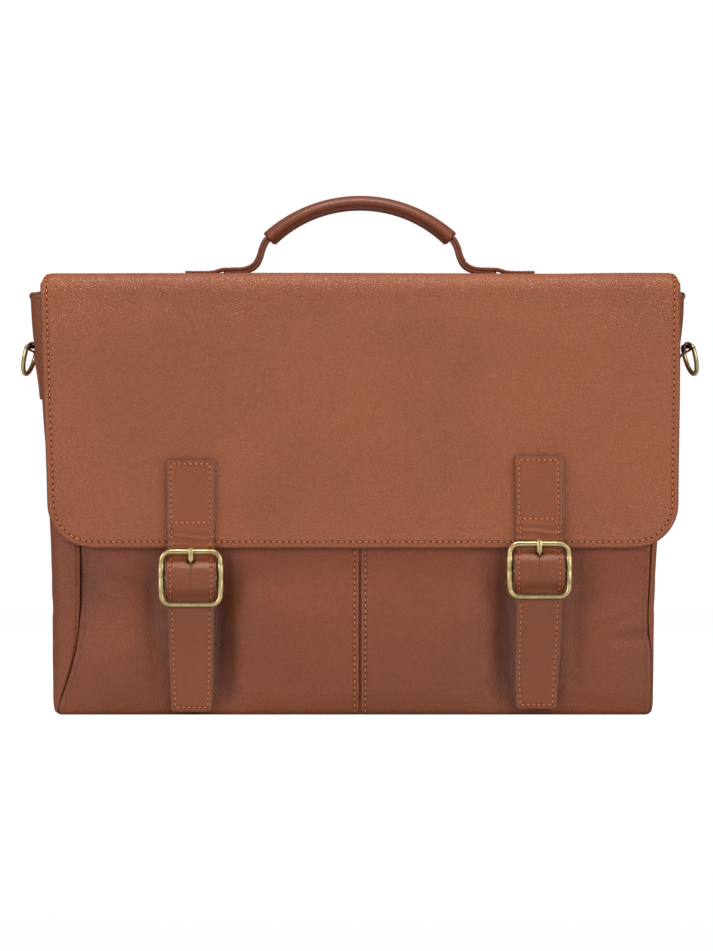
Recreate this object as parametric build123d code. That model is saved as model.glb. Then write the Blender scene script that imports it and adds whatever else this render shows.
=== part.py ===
from build123d import *
import math
import os

# A soft leather briefcase: a lined bag with two front pockets, a full flap with two
# buckled straps, a carrying handle on the flap and a D-ring on each gusset.
# Millimetres. The front faces -Y, X runs to the right, Z is up, and the origin is the
# middle of the underside.

# ---------------------------------------------------------------- bag, outside sizes
base_width = 380.0
mouth_width = base_width + 34.0
depth = 90.0
body_height = 266.0
corner_radius = 10.0
leather = 1.8
cloth = 0.8
stiffener = 1.6
sewn_gap = 0.1

# ---------------------------------------------------------------- front pockets
pocket_height = 205.0
pocket_room = 7.0
seam_strip = 2.4
seam_gap = 0.4
binding = 2.0
binding_lip = 1.0

# ---------------------------------------------------------------- laptop divider
divider_thickness = 6.0
divider_height = 222.0
laptop_room = 15.0
divider_clearance = 1.0

# ---------------------------------------------------------------- flap
flap_width = base_width + 23.0
flap_top_height = body_height + 14.0
flap_bottom_height = 105.7
flap_corner_radius = 28.0
flap_lining = 1.0
flap_clearance = 0.4
flap_turn_in = 1.2
roll_radius = 12.0
fold_gap = 0.6

# ---------------------------------------------------------------- straps and buckles
strap_width = 30.0
strap_tip_width = 24.0
strap_taper_length = 62.0
strap_thickness = 2.0
anchor_thickness = 2.4
anchor_length = 40.5
strap_clearance = 0.2
strap_rise_length = 12.0
strap_hinge_gap = 1.2
buckle_width = strap_width + 11.0
buckle_height = 36.8
buckle_corner = 7.6
wire_radius = 1.8
sleeve_wall = 0.6
sleeve_length = 18.0
bar_radius = 1.2
bar_set_back = 0.8
tongue_radius = 1.2
tongue_eye = 2.3
tongue_clearance = 0.5
tongue_overhang = 0.7
running_clearance = 0.05
chape_width = 25.0
chape_leather = 1.0
chape_length = 42.0
chape_thickness = 2.0
snap_radius = 7.0
snap_drop = 25.0
socket_thickness = 1.4
stud_thickness = 1.2
nipple_radius = 2.8
socket_hole = 4.4
snap_gap = 0.3

# Each strap: middle, bottom of its sewn anchor, middle of its buckle, end of its tail.
straps = {
    "left": (-107.0, 120.3, 86.7, 2.5),
    "right": (113.5, 122.8, 91.7, 4.4),
}

# ---------------------------------------------------------------- D-rings
ring_height = body_height - 32.0
ring_standoff = 4.5
ring_half_width = 12.0
ring_side = 6.0
ring_wire = 1.75
ring_corner = 2.6
ring_tilt = 13.6
loop_leather = 1.5
loop_clearance = 0.3
loop_width = 17.0
patch_width = 62.0
patch_height = 29.0
patch_thickness = 2.2
patch_drop = 5.0

# ---------------------------------------------------------------- handle
handle_half_span = 56.8
handle_end_height = flap_top_height + 22.7
handle_top_height = flap_top_height + 49.0
grip_thickness = 8.6
grip_width = 22.0
core_thickness = 5.4
core_width = 18.0
leg_position = 61.5
leg_thickness = 4.4
leg_width = 20.0
root_radius = 4.0
root_clearance = 0.4
tab_end = 111.0
tab_step = 87.0
tab_thickness = 2.2
tab_gap = 0.6
tab_corner = 3.0

# ---------------------------------------------------------------- worked-out places
far = 1000.0
half_depth = depth / 2
flap_front_face = -(half_depth + flap_clearance + flap_lining + leather)
front_roll = (flap_front_face + roll_radius, flap_top_height - roll_radius)
rear_roll = (half_depth - roll_radius, flap_top_height - roll_radius)
wall_front = -(half_depth - leather - pocket_room)
wall_back = wall_front + leather
back_inside = half_depth - leather - stiffener
lining_front = wall_back + sewn_gap
lining_back = back_inside - sewn_gap
lining_floor = leather + stiffener
divider_back = lining_back - cloth - laptop_room
divider_front = divider_back - divider_thickness
stud_front = -(half_depth + socket_thickness + snap_gap)
chape_back = stud_front - stud_thickness
chape_front = chape_back - chape_thickness
strap_behind_rail = chape_front - strap_clearance - strap_thickness
rail_line = strap_behind_rail - strap_clearance - wire_radius
bar_line = rail_line + bar_set_back
chape_eye = bar_radius + running_clearance + chape_leather
strap_over_bar = bar_line - chape_eye - strap_clearance
strap_at_anchor = flap_front_face - strap_clearance
hinge_height = flap_top_height + root_radius + root_clearance


def half_width(height):
    """Half the outside width of the bag at a height."""
    return base_width / 2 + (mouth_width - base_width) / 2 * height / body_height


def side_prism(points, half):
    """A prism along X, from -half to half, over (y, z) points."""
    return extrude(Plane.YZ * Polygon(*points, align=None), amount=half, both=True)


def block(x_range, y_range, z_range):
    """A box given by its ranges."""
    ranges = (x_range, y_range, z_range)
    middle = [(low + high) / 2 for low, high in ranges]
    size = [high - low for low, high in ranges]
    return Pos(*middle) * Box(*size)


def flared(inset, floor, top):
    """The block between two heights whose ends lean out as the gussets do."""
    low = half_width(floor) - inset
    high = half_width(top) - inset
    outline = Polygon((-low, floor), (low, floor), (high, top), (-high, top), align=None)
    return extrude(Plane.XZ * outline, amount=half_depth - inset, both=True)


def envelope(inset, floor, top):
    """The outside of the bag, shrunk by inset on its four sides, between two heights."""
    solid = flared(inset, floor, top)
    middle = (floor + top) / 2
    uprights = [edge for edge in solid.edges() if abs(edge.center().Z - middle) < 1e-3]
    return fillet(uprights, corner_radius - inset)


def cell(inset, y_range, z_range):
    """A slice of the inside of the bag between two depths and two heights."""
    return envelope(inset, *z_range) & block((-far, far), y_range, z_range)


def wall_ring(floor, top):
    """The four outer leather walls as one ring."""
    return envelope(0, floor, top) - envelope(leather, floor, top)


def between_seams(floor, top):
    """The zone of the front and back panels, inside the two rounded gusset corners."""
    low = half_width(floor) - corner_radius
    high = half_width(top) - corner_radius
    outline = Polygon((-low, floor), (low, floor), (high, top), (-high, top), align=None)
    return extrude(Plane.XZ * outline, amount=far, both=True)


def gusset(side, floor, top, ring):
    """The part of a ring that lies outside the seams, on one side."""
    zone = block((min(0, side * far), max(0, side * far)), (-far, far), (floor, top))
    return (ring - between_seams(floor, top)) & zone


def flap_profile(inset):
    """The closed flap seen from the side: down the front, over the top, to the back."""
    low = flap_front_face + inset
    high = half_depth - inset
    top = flap_top_height - inset
    outline = Polygon((low, 0), (high, 0), (high, top), (low, top), align=None)
    corners = [vertex for vertex in outline.vertices() if vertex.Y > top / 2]
    return Plane.YZ * fillet(corners, roll_radius - inset)


def flap_layer(outer, inner, width):
    """One layer of the flap, as a shell between two insets."""
    skin = extrude(flap_profile(outer), amount=width / 2, both=True)
    return skin - extrude(flap_profile(inner), amount=width / 2, both=True)


def front_zone():
    """The zone of the hanging front of the flap, up to the middle of its front roll."""
    y, z = front_roll
    reach = 4 * roll_radius
    points = ((y, z - fold_gap), (y - reach, z - fold_gap + reach),
              (y - reach, flap_bottom_height), (y, flap_bottom_height))
    return side_prism(points, far)


def top_zone():
    """The zone of the top of the flap, between the middles of its two rolls."""
    reach = 4 * roll_radius
    points = (front_roll, (front_roll[0] - reach, front_roll[1] + reach),
              (rear_roll[0] + reach, rear_roll[1] + reach), rear_roll)
    return side_prism(points, far)


def rear_zone():
    """The zone above the back panel, up to the middle of the rear roll."""
    y, z = rear_roll
    reach = 4 * roll_radius
    points = ((y, z - fold_gap), (y + reach, z - fold_gap + reach),
              (y + reach, body_height), (y, body_height))
    return side_prism(points, far)


def flap_outline(inset):
    """The front view of the flap, with its two rounded lower corners."""
    half = flap_width / 2 - inset
    low = flap_bottom_height + inset
    outline = Polygon((-half, low), (half, low), (half, far), (-half, far), align=None)
    corners = [vertex for vertex in outline.vertices() if vertex.Y < far / 2]
    return extrude(Plane.XZ * fillet(corners, flap_corner_radius - inset), amount=far, both=True)


def side_cylinder(radius, length, y, z, x=0.0):
    """A cylinder along X."""
    return Pos(x, y, z) * Rot(0, 90, 0) * Cylinder(radius, length)


def front_disc(radius, y_range, x, z):
    """A disc whose axis runs along Y."""
    y = (y_range[0] + y_range[1]) / 2
    return Pos(x, y, z) * Rot(90, 0, 0) * Cylinder(radius, y_range[1] - y_range[0])


def strap_tail(x, start, buckle, end):
    """The free strap: off its anchor, behind the top rail, over the bar, and down."""
    half = strap_thickness / 2
    rail = buckle_height / 2 - wire_radius
    near = strap_behind_rail + half
    over = strap_over_bar - half
    points = [
        (strap_at_anchor - half, start),
        (strap_at_anchor - half, start - strap_rise_length / 2),
        (near, buckle + rail + wire_radius + strap_thickness),
        (near, buckle + rail - wire_radius),
        (over, buckle + chape_eye),
        (over, buckle - chape_eye),
        (near, buckle - rail + wire_radius),
        (near, end),
    ]
    path = Plane.YZ * FilletPolyline(*points, radius=strap_thickness)
    section = Plane(origin=path @ 0, z_dir=path % 0, x_dir=(1, 0, 0)) * Rectangle(strap_width, strap_thickness)
    ribbon = sweep(section, path=path)
    tip = strap_tip_width / 2
    wide = strap_width
    outline = Polygon((-tip, end - 1), (tip, end - 1), (strap_width / 2, end + strap_taper_length),
                      (wide, end + strap_taper_length), (wide, start + 1), (-wide, start + 1),
                      (-wide, end + strap_taper_length), (-strap_width / 2, end + strap_taper_length),
                      align=None)
    ribbon = ribbon & extrude(Plane.XZ * outline, amount=far, both=True)
    slot_half = tongue_radius + tongue_clearance
    slot = block((-slot_half, slot_half), (-far, far),
                 (buckle - tongue_eye - tongue_clearance, buckle + rail - wire_radius))
    return Pos(x, 0, 0) * (ribbon - slot)


def buckle_frame(x, buckle):
    """The wire frame of a buckle, a rounded rectangle of round wire."""
    path = RectangleRounded(buckle_width - 2 * wire_radius, buckle_height - 2 * wire_radius,
                            buckle_corner - wire_radius).wire()
    path = Plane(origin=(x, rail_line, buckle), x_dir=(1, 0, 0), z_dir=(0, -1, 0)) * path
    section = Plane(origin=path @ 0, z_dir=path % 0) * Circle(wire_radius)
    return sweep(section, path=path)


def buckle_bar(x, buckle):
    """The middle bar of a buckle with the two sleeves that wrap its side rails."""
    rail = buckle_width / 2 - wire_radius
    bar = side_cylinder(bar_radius, 2 * rail, bar_line, buckle, x)
    rails = []
    for side in (-1, 1):
        place = Pos(x + side * rail, rail_line, buckle)
        bar += place * Cylinder(wire_radius + sleeve_wall, sleeve_length)
        rails.append(place * Cylinder(wire_radius + running_clearance, 2 * sleeve_length))
    return bar - rails


def tongue(x, buckle):
    """The prong of a buckle: an eye round the bar and a pin that rests on the top rail."""
    rail = buckle_height / 2 - wire_radius
    out = bar_line - rail_line + wire_radius + tongue_radius + strap_clearance / 2
    length = math.hypot(out, rail) + tongue_overhang
    pin = Pos(0, 0, length / 2) * Cylinder(tongue_radius, length)
    pin += Pos(0, 0, length) * Sphere(tongue_radius)
    pin = Rot(math.degrees(math.atan2(out, rail)), 0, 0) * pin
    eye = side_cylinder(tongue_eye, 2 * tongue_radius, 0, 0)
    hole = side_cylinder(bar_radius + running_clearance, 4 * tongue_radius, 0, 0)
    return Pos(x, bar_line, buckle) * ((pin + eye) - hole)


def chape(x, buckle):
    """The short leather tab that holds the bar: an eye, split for the tongue, and a tab."""
    low = buckle - chape_length
    tab = block((-chape_width / 2, chape_width / 2), (chape_front, chape_back), (low, buckle))
    eye = side_cylinder(chape_eye, chape_width, bar_line, buckle)
    web = block((-chape_width / 2, chape_width / 2), (bar_line, chape_back),
                (buckle - chape_eye, buckle))
    solid = tab + eye + web
    solid -= side_cylinder(bar_radius + running_clearance, 2 * chape_width, bar_line, buckle)
    split = tongue_radius + tongue_clearance
    reach = tongue_eye + tongue_clearance
    solid -= block((-split, split), (-far, bar_line + reach), (buckle - reach, buckle + reach))
    return Pos(x, 0, 0) * solid


def snap_stud(x, height):
    """The male half of a hidden magnetic snap, on the back of the chape."""
    disc = front_disc(snap_radius, (chape_back, stud_front), x, height)
    return disc + front_disc(nipple_radius, (stud_front, stud_front + socket_thickness), x, height)


def snap_socket(x, height):
    """The female half of the snap, on the pocket panel."""
    face = (-half_depth - socket_thickness, -half_depth)
    return front_disc(snap_radius, face, x, height) - front_disc(socket_hole, face, x, height)


def ring_bar(side):
    """The place of a D-ring's straight bar."""
    return (side * (half_width(ring_height) + ring_standoff), 0, ring_height)


def d_ring(side):
    """A D-ring of round wire, hanging from its bar and leaning out."""
    sides = FilletPolyline((-ring_half_width, -ring_side), (-ring_half_width, 0),
                           (ring_half_width, 0), (ring_half_width, -ring_side), radius=ring_corner)
    bow = CenterArc((0, -ring_side), ring_half_width, 180, 180)
    path = Plane.YZ * Wire([*sides.edges(), *bow.edges()])
    section = Plane(origin=path @ 0, z_dir=path % 0) * Circle(ring_wire)
    return Pos(*ring_bar(side)) * Rot(0, -side * ring_tilt, 0) * sweep(section, path=path)


def ring_loop(side):
    """The leather loop that holds a D-ring's bar against the gusset."""
    x, y, z = ring_bar(side)
    inner = ring_wire + loop_clearance
    outer = inner + loop_leather
    tube = Pos(x, y, z) * Rot(90, 0, 0) * Cylinder(outer, loop_width)
    reach = sorted((x, x - side * 3 * ring_standoff))
    tube += block(reach, (-loop_width / 2, loop_width / 2), (z - outer, z))
    tube -= Pos(x, y, z) * Rot(90, 0, 0) * Cylinder(inner, 2 * loop_width)
    return tube - envelope(0, z - 4 * outer, z + 4 * outer)


def ring_patch(side):
    """The sewn patch below a loop."""
    high = ring_height - patch_drop
    low = high - patch_height
    skin = envelope(-patch_thickness, low, high) - envelope(0, low, high)
    x_range = sorted((0, side * far))
    return skin & block(x_range, (-patch_width / 2, patch_width / 2), (low, high))


def grip_path():
    """The arched middle line of the grip."""
    top = handle_top_height - grip_thickness / 2
    arc = ThreePointArc((-handle_half_span, handle_end_height), (0, top),
                        (handle_half_span, handle_end_height))
    return Plane.XZ * arc


def along_grip(shape):
    """Sweeps a section along the grip."""
    path = grip_path()
    return sweep(Plane(origin=path @ 0, z_dir=path % 0, x_dir=(0, 1, 0)) * shape, path=path)


def handle_leg(side):
    """A doubled strap from the fold at the flap up into one end of the grip."""
    run = grip_path() % 0
    step = (leg_position - handle_half_span) / run.X
    points = [(-leg_position, hinge_height - root_radius),
              (-leg_position, handle_end_height - step * run.Z),
              (-handle_half_span, handle_end_height)]
    path = Plane.XZ * FilletPolyline(*points, radius=leg_thickness)
    section = Plane(origin=path @ 0, z_dir=path % 0, x_dir=(0, 1, 0)) * Rectangle(leg_width, leg_thickness)
    strip = sweep(section, path=path)
    rise = 3.5 * root_radius
    half = leg_width / 2
    taper = side_prism(((-root_radius, hinge_height), (root_radius, hinge_height),
                        (half, hinge_height + rise), (half, far), (-half, far),
                        (-half, hinge_height + rise)), far)
    taper += side_cylinder(root_radius, 2 * far, 0, hinge_height)
    leg = strip & taper
    return leg if side < 0 else mirror(leg, about=Plane.YZ)


def handle_tab(side, outer, layer):
    """One layer of a handle tab sewn flat on the flap, from outer to beside the leg."""
    inner = leg_position + leg_thickness / 2 + tab_gap
    low = flap_top_height + layer * tab_thickness
    tab = block((-outer, -inner), (-leg_width / 2, leg_width / 2), (low, low + tab_thickness))
    ends = [edge for edge in tab.edges().filter_by(Axis.Z) if edge.center().X < -outer + 1e-3]
    tab = fillet(ends, tab_corner)
    return tab if side < 0 else mirror(tab, about=Plane.YZ)


nodes = {}

# ---------------------------------------------------------------- the bag
ring = wall_ring(0, body_height)
panels = ring & between_seams(0, body_height)
rear_panel = panels & block((-far, far), (0, far), (0, body_height))
rear_turn = flap_layer(0, leather, flap_width) & rear_zone()
nodes["back_panel"] = rear_panel + rear_turn
nodes["base_panel"] = envelope(leather, 0, leather)
nodes["front_wall"] = cell(leather, (wall_front, wall_back), (leather, body_height))
nodes["base_board"] = cell(leather + sewn_gap, (wall_back, half_depth), (leather, lining_floor))
nodes["back_board"] = cell(leather + sewn_gap, (back_inside, half_depth - leather),
                           (lining_floor, body_height - corner_radius))
nodes["pocket_seam_strip"] = block((-seam_strip / 2, seam_strip / 2),
                                   (-half_depth + leather, wall_front), (leather, pocket_height))

# ---------------------------------------------------------------- inside
lining_top = body_height - binding
lining_room = leather + sewn_gap
nodes["lining"] = cell(lining_room, (lining_front, lining_back), (lining_floor, lining_top))
nodes["lining"] -= cell(lining_room + cloth, (lining_front + cloth, lining_back - cloth),
                        (lining_floor + cloth, lining_top))
nodes["laptop_divider"] = cell(lining_room + cloth + divider_clearance, (divider_front, divider_back),
                               (lining_floor + cloth, divider_height))
wall_binding_half = half_width(body_height) - leather - binding_lip - seam_gap
nodes["front_wall_binding"] = block((-wall_binding_half, wall_binding_half),
                                    (wall_front - binding_lip, wall_back + binding_lip),
                                    (body_height, body_height + binding))

# ---------------------------------------------------------------- each side of the bag
for name, side in (("left", -1), ("right", 1)):
    half_room = sorted((side * seam_gap / 2, side * far))
    front_room = block(half_room, (-far, 0), (0, pocket_height))
    nodes[name + "_gusset"] = gusset(side, 0, body_height, ring)
    nodes[name + "_pocket_panel"] = panels & front_room
    seam = half_width(pocket_height) - corner_radius
    nodes[name + "_pocket_binding"] = block(sorted((side * seam_gap / 2, side * seam)),
                                            (-half_depth, -half_depth + leather + binding_lip),
                                            (pocket_height, pocket_height + binding))
    hem = envelope(-binding_lip, body_height, body_height + binding)
    hem -= envelope(leather + binding_lip, body_height, body_height + binding)
    straight = half_depth - corner_radius
    hem &= block(half_room, (-straight, straight), (0, far))
    nodes[name + "_gusset_binding"] = gusset(side, body_height, body_height + binding, hem)
    nodes[name + "_ring_loop"] = ring_loop(side)
    nodes[name + "_ring_patch"] = ring_patch(side)
    nodes[name + "_d_ring"] = d_ring(side)

# ---------------------------------------------------------------- the flap
lining_width = flap_width - 2 * flap_turn_in
outer_skin = flap_layer(0, leather, flap_width)
inner_skin = flap_layer(leather, leather + flap_lining, lining_width)
nodes["flap_top_leather"] = outer_skin & top_zone()
nodes["flap_top_lining"] = inner_skin & top_zone()
nodes["flap_front_leather"] = outer_skin & front_zone() & flap_outline(0)
nodes["flap_front_lining"] = inner_skin & front_zone() & flap_outline(flap_turn_in)

# ---------------------------------------------------------------- straps and buckles
for name, (x, anchor, buckle, tail) in straps.items():
    nodes[name + "_strap_anchor"] = block((x - strap_width / 2, x + strap_width / 2),
                                          (flap_front_face - anchor_thickness, flap_front_face),
                                          (anchor, anchor + anchor_length))
    nodes[name + "_strap"] = strap_tail(x, anchor - strap_hinge_gap, buckle, tail)
    nodes[name + "_buckle_frame"] = buckle_frame(x, buckle)
    nodes[name + "_buckle_bar"] = buckle_bar(x, buckle)
    nodes[name + "_buckle_tongue"] = tongue(x, buckle)
    nodes[name + "_chape"] = chape(x, buckle)
    nodes[name + "_snap_stud"] = snap_stud(x, buckle - snap_drop)
    nodes[name + "_snap_socket"] = snap_socket(x, buckle - snap_drop)

# ---------------------------------------------------------------- the handle
core_room = 2 * running_clearance
nodes["handle_grip"] = along_grip(Ellipse(grip_width / 2, grip_thickness / 2)
                                  - Ellipse((core_width + core_room) / 2, (core_thickness + core_room) / 2))
nodes["handle_core"] = along_grip(Ellipse(core_width / 2, core_thickness / 2))
for name, side in (("left", -1), ("right", 1)):
    nodes[name + "_handle_leg"] = handle_leg(side)
    nodes[name + "_handle_tab"] = handle_tab(side, tab_end, 0)
    nodes[name + "_handle_tab_cover"] = handle_tab(side, tab_step, 1)

os.makedirs("parts", exist_ok=True)
for name, shape in nodes.items():
    export_step(shape, "parts/" + name + ".step")
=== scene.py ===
import logging
import math
from dataclasses import dataclass
from enum import Enum
from functools import cached_property
from typing import Callable, Optional, Sequence

import bmesh
import bpy
from mathutils import Matrix, Vector, noise


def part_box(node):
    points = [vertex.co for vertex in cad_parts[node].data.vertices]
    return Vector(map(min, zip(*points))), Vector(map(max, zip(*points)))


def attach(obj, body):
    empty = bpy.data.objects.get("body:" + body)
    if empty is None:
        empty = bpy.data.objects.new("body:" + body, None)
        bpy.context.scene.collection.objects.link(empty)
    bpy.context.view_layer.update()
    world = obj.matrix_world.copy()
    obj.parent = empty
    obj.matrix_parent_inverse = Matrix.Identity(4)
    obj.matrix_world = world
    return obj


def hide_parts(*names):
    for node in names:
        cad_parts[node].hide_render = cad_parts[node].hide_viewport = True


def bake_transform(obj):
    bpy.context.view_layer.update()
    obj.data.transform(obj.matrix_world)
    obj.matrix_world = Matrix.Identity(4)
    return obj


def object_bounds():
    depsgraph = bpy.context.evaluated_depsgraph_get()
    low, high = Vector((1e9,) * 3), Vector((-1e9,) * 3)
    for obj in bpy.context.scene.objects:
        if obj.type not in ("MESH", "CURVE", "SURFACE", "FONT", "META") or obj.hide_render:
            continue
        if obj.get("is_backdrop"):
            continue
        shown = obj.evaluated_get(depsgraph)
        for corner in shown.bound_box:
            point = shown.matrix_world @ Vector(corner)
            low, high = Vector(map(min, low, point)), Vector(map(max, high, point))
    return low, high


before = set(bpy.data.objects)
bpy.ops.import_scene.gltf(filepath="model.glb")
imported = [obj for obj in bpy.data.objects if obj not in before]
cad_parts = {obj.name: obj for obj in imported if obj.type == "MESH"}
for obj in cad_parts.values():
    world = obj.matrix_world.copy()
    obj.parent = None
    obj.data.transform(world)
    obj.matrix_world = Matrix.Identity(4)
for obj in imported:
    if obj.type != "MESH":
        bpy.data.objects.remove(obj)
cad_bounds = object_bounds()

log = logging.getLogger("briefcase")

MM = 0.001
TINY = 1e-9
RIGHT_ANGLE = math.pi / 2
MIX_SHARE, MIX_FIRST, MIX_SECOND, MIX_RESULT = 0, 6, 7, 2
Flat = tuple[float, float]
Place = Callable[[float, float], Vector]


class Side(Enum):
    """The two ends of the bag, with the sign of X."""

    LEFT = -1
    RIGHT = 1

    @property
    def word(self) -> str:
        """The side's name, as the frame's nodes spell it."""
        return self.name.lower()


# ------------------------------------------------------------------ small maths


def mm(x: float, y: float, z: float) -> Vector:
    """A point given in millimetres."""
    return Vector((x, y, z)) * MM


def spread(start: float, end: float, count: int) -> list[float]:
    """Evenly spaced numbers, both ends included."""
    return [start + (end - start) * index / count for index in range(count + 1)]


def clamp(value: float, low: float = 0.0, high: float = 1.0) -> float:
    """Keeps a value between two limits."""
    return max(low, min(high, value))


def ease(value: float) -> float:
    """A smooth step from 0 to 1."""
    value = clamp(value)
    return value * value * (3 - 2 * value)


def hill(value: float, middle: float, reach: float) -> float:
    """A bell of height 1 around a middle."""
    return math.exp(-(((value - middle) / reach) ** 2))


def keyed(keys: Sequence[Flat], value: float) -> float:
    """Reads a smooth curve through keys that never overshoots them.

    Args:
        keys: (position, height) pairs in rising order of position.
        value: The position to read.

    Returns:
        The height there.
    """
    if value <= keys[0][0]:
        return keys[0][1]
    if value >= keys[-1][0]:
        return keys[-1][1]
    index = next(i for i in range(len(keys) - 1) if value <= keys[i + 1][0])
    first = max(index - 1, 0)
    slopes = [(b[1] - a[1]) / (b[0] - a[0]) for a, b in zip(keys[first:], keys[first + 1:index + 3])]
    here = slopes[index - first]
    before = slopes[0] if index else here
    after = slopes[-1] if index + 2 < len(keys) else here
    (low, start), (high, end) = keys[index], keys[index + 1]
    lean_in = 2 * before * here / (before + here) if before * here > 0 else 0.0
    lean_out = 2 * after * here / (after + here) if after * here > 0 else 0.0
    run = high - low
    t = (value - low) / run
    return ((1 + 2 * t) * (1 - t) ** 2 * start + t * (1 - t) ** 2 * run * lean_in
            + t * t * (3 - 2 * t) * end - t * t * (1 - t) * run * lean_out)


def ripple(x: float, z: float, size: float, seed: float) -> float:
    """A smooth random height between about -1 and 1, for soft unevenness."""
    return noise.noise(Vector((x / size, seed, z / size)))


def smooth_path(points: Sequence[Vector], steps: int) -> list[Vector]:
    """Rounds a short given route into an even smooth line.

    Args:
        points: The route.
        steps: How many points each run is divided into.

    Returns:
        The points of a Catmull-Rom line through the route.
    """
    line: list[Vector] = []
    ends = [points[0] * 2 - points[1], *points, points[-1] * 2 - points[-2]]
    for a, b, c, d in zip(ends, ends[1:], ends[2:], ends[3:]):
        for step in range(steps):
            t = step / steps
            line.append(0.5 * ((2 * b) + (c - a) * t + (2 * a - 5 * b + 4 * c - d) * t * t
                               + (3 * b - a - 3 * c + d) * t ** 3))
    line.append(points[-1].copy())
    return line


class Route:
    """A line measured along its length."""

    def __init__(self, points: Sequence[Sequence[float]]) -> None:
        """Measures the line.

        Args:
            points: Its points, as pairs or vectors.
        """
        self.points = points
        self.lengths = [0.0]
        for a, b in zip(points, points[1:]):
            self.lengths.append(self.lengths[-1] + math.dist(a, b))

    @property
    def total(self) -> float:
        """The whole length."""
        return self.lengths[-1]

    def at(self, distance: float) -> tuple[float, ...]:
        """The point at a distance from the start."""
        for index, end in enumerate(self.lengths[1:]):
            if distance <= end + TINY:
                share = (distance - self.lengths[index]) / max(end - self.lengths[index], TINY)
                return tuple(p + (q - p) * share for p, q in zip(self.points[index], self.points[index + 1]))
        return tuple(self.points[-1])


# ------------------------------------------------------------------ shader groups


class Group:
    """A shader node group with named inputs and outputs, built once."""

    def __init__(self, name: str, inputs: dict[str, float], outputs: dict[str, str]) -> None:
        """Makes the group and its sockets.

        Args:
            name: The group's name.
            inputs: Float inputs and their defaults.
            outputs: Output names and their socket types.
        """
        self.tree = bpy.data.node_groups.new(name, "ShaderNodeTree")
        self.tree.interface.new_socket("Vector", in_out="INPUT", socket_type="NodeSocketVector")
        for key, value in inputs.items():
            socket = self.tree.interface.new_socket(key, in_out="INPUT", socket_type="NodeSocketFloat")
            socket.default_value = value
        for key, kind in outputs.items():
            self.tree.interface.new_socket(key, in_out="OUTPUT", socket_type=kind)
        self.enter = self.tree.nodes.new("NodeGroupInput")
        self.leave = self.tree.nodes.new("NodeGroupOutput")

    def link(self, source: bpy.types.NodeSocket, target: bpy.types.NodeSocket) -> None:
        """Joins two sockets."""
        self.tree.links.new(source, target)


def math_node(tree: bpy.types.NodeTree, kind: str, a: object, b: object = 0.0) -> bpy.types.NodeSocket:
    """Adds a Math node.

    Args:
        tree: The node tree.
        kind: The operation.
        a: A socket or a number.
        b: A socket or a number.

    Returns:
        The node's output.
    """
    node = tree.nodes.new("ShaderNodeMath")
    node.operation = kind
    for index, value in enumerate((a, b)):
        if isinstance(value, bpy.types.NodeSocket):
            tree.links.new(value, node.inputs[index])
        else:
            node.inputs[index].default_value = value
    return node.outputs[0]


def noise_node(tree: bpy.types.NodeTree, vector: bpy.types.NodeSocket, scale: object,
               detail: float = 2.0) -> bpy.types.NodeSocket:
    """Adds a Noise texture and returns its value, from 0 to 1."""
    node = tree.nodes.new("ShaderNodeTexNoise")
    node.inputs["Detail"].default_value = detail
    tree.links.new(vector, node.inputs["Vector"])
    if isinstance(scale, bpy.types.NodeSocket):
        tree.links.new(scale, node.inputs["Scale"])
    else:
        node.inputs["Scale"].default_value = scale
    return node.outputs[0]


def mapped(tree: bpy.types.NodeTree, value: bpy.types.NodeSocket, low: float, high: float,
           start: float = 0.0, end: float = 1.0) -> bpy.types.NodeSocket:
    """Adds a smooth Map Range from low..high to start..end."""
    node = tree.nodes.new("ShaderNodeMapRange")
    node.interpolation_type = "SMOOTHSTEP"
    tree.links.new(value, node.inputs["Value"])
    for key, number in (("From Min", low), ("From Max", high), ("To Min", start), ("To Max", end)):
        node.inputs[key].default_value = number
    return node.outputs[0]


def mixed(tree: bpy.types.NodeTree, share: object, a: object, b: object) -> bpy.types.NodeSocket:
    """Adds a colour Mix and returns its result."""
    node = tree.nodes.new("ShaderNodeMix")
    node.data_type = "RGBA"
    for index, value in ((MIX_SHARE, share), (MIX_FIRST, a), (MIX_SECOND, b)):
        socket = node.inputs[index]
        if isinstance(value, bpy.types.NodeSocket):
            tree.links.new(value, socket)
        elif isinstance(value, float):
            socket.default_value = value
        else:
            socket.default_value = (*value, 1.0)
    return node.outputs[MIX_RESULT]


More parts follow.
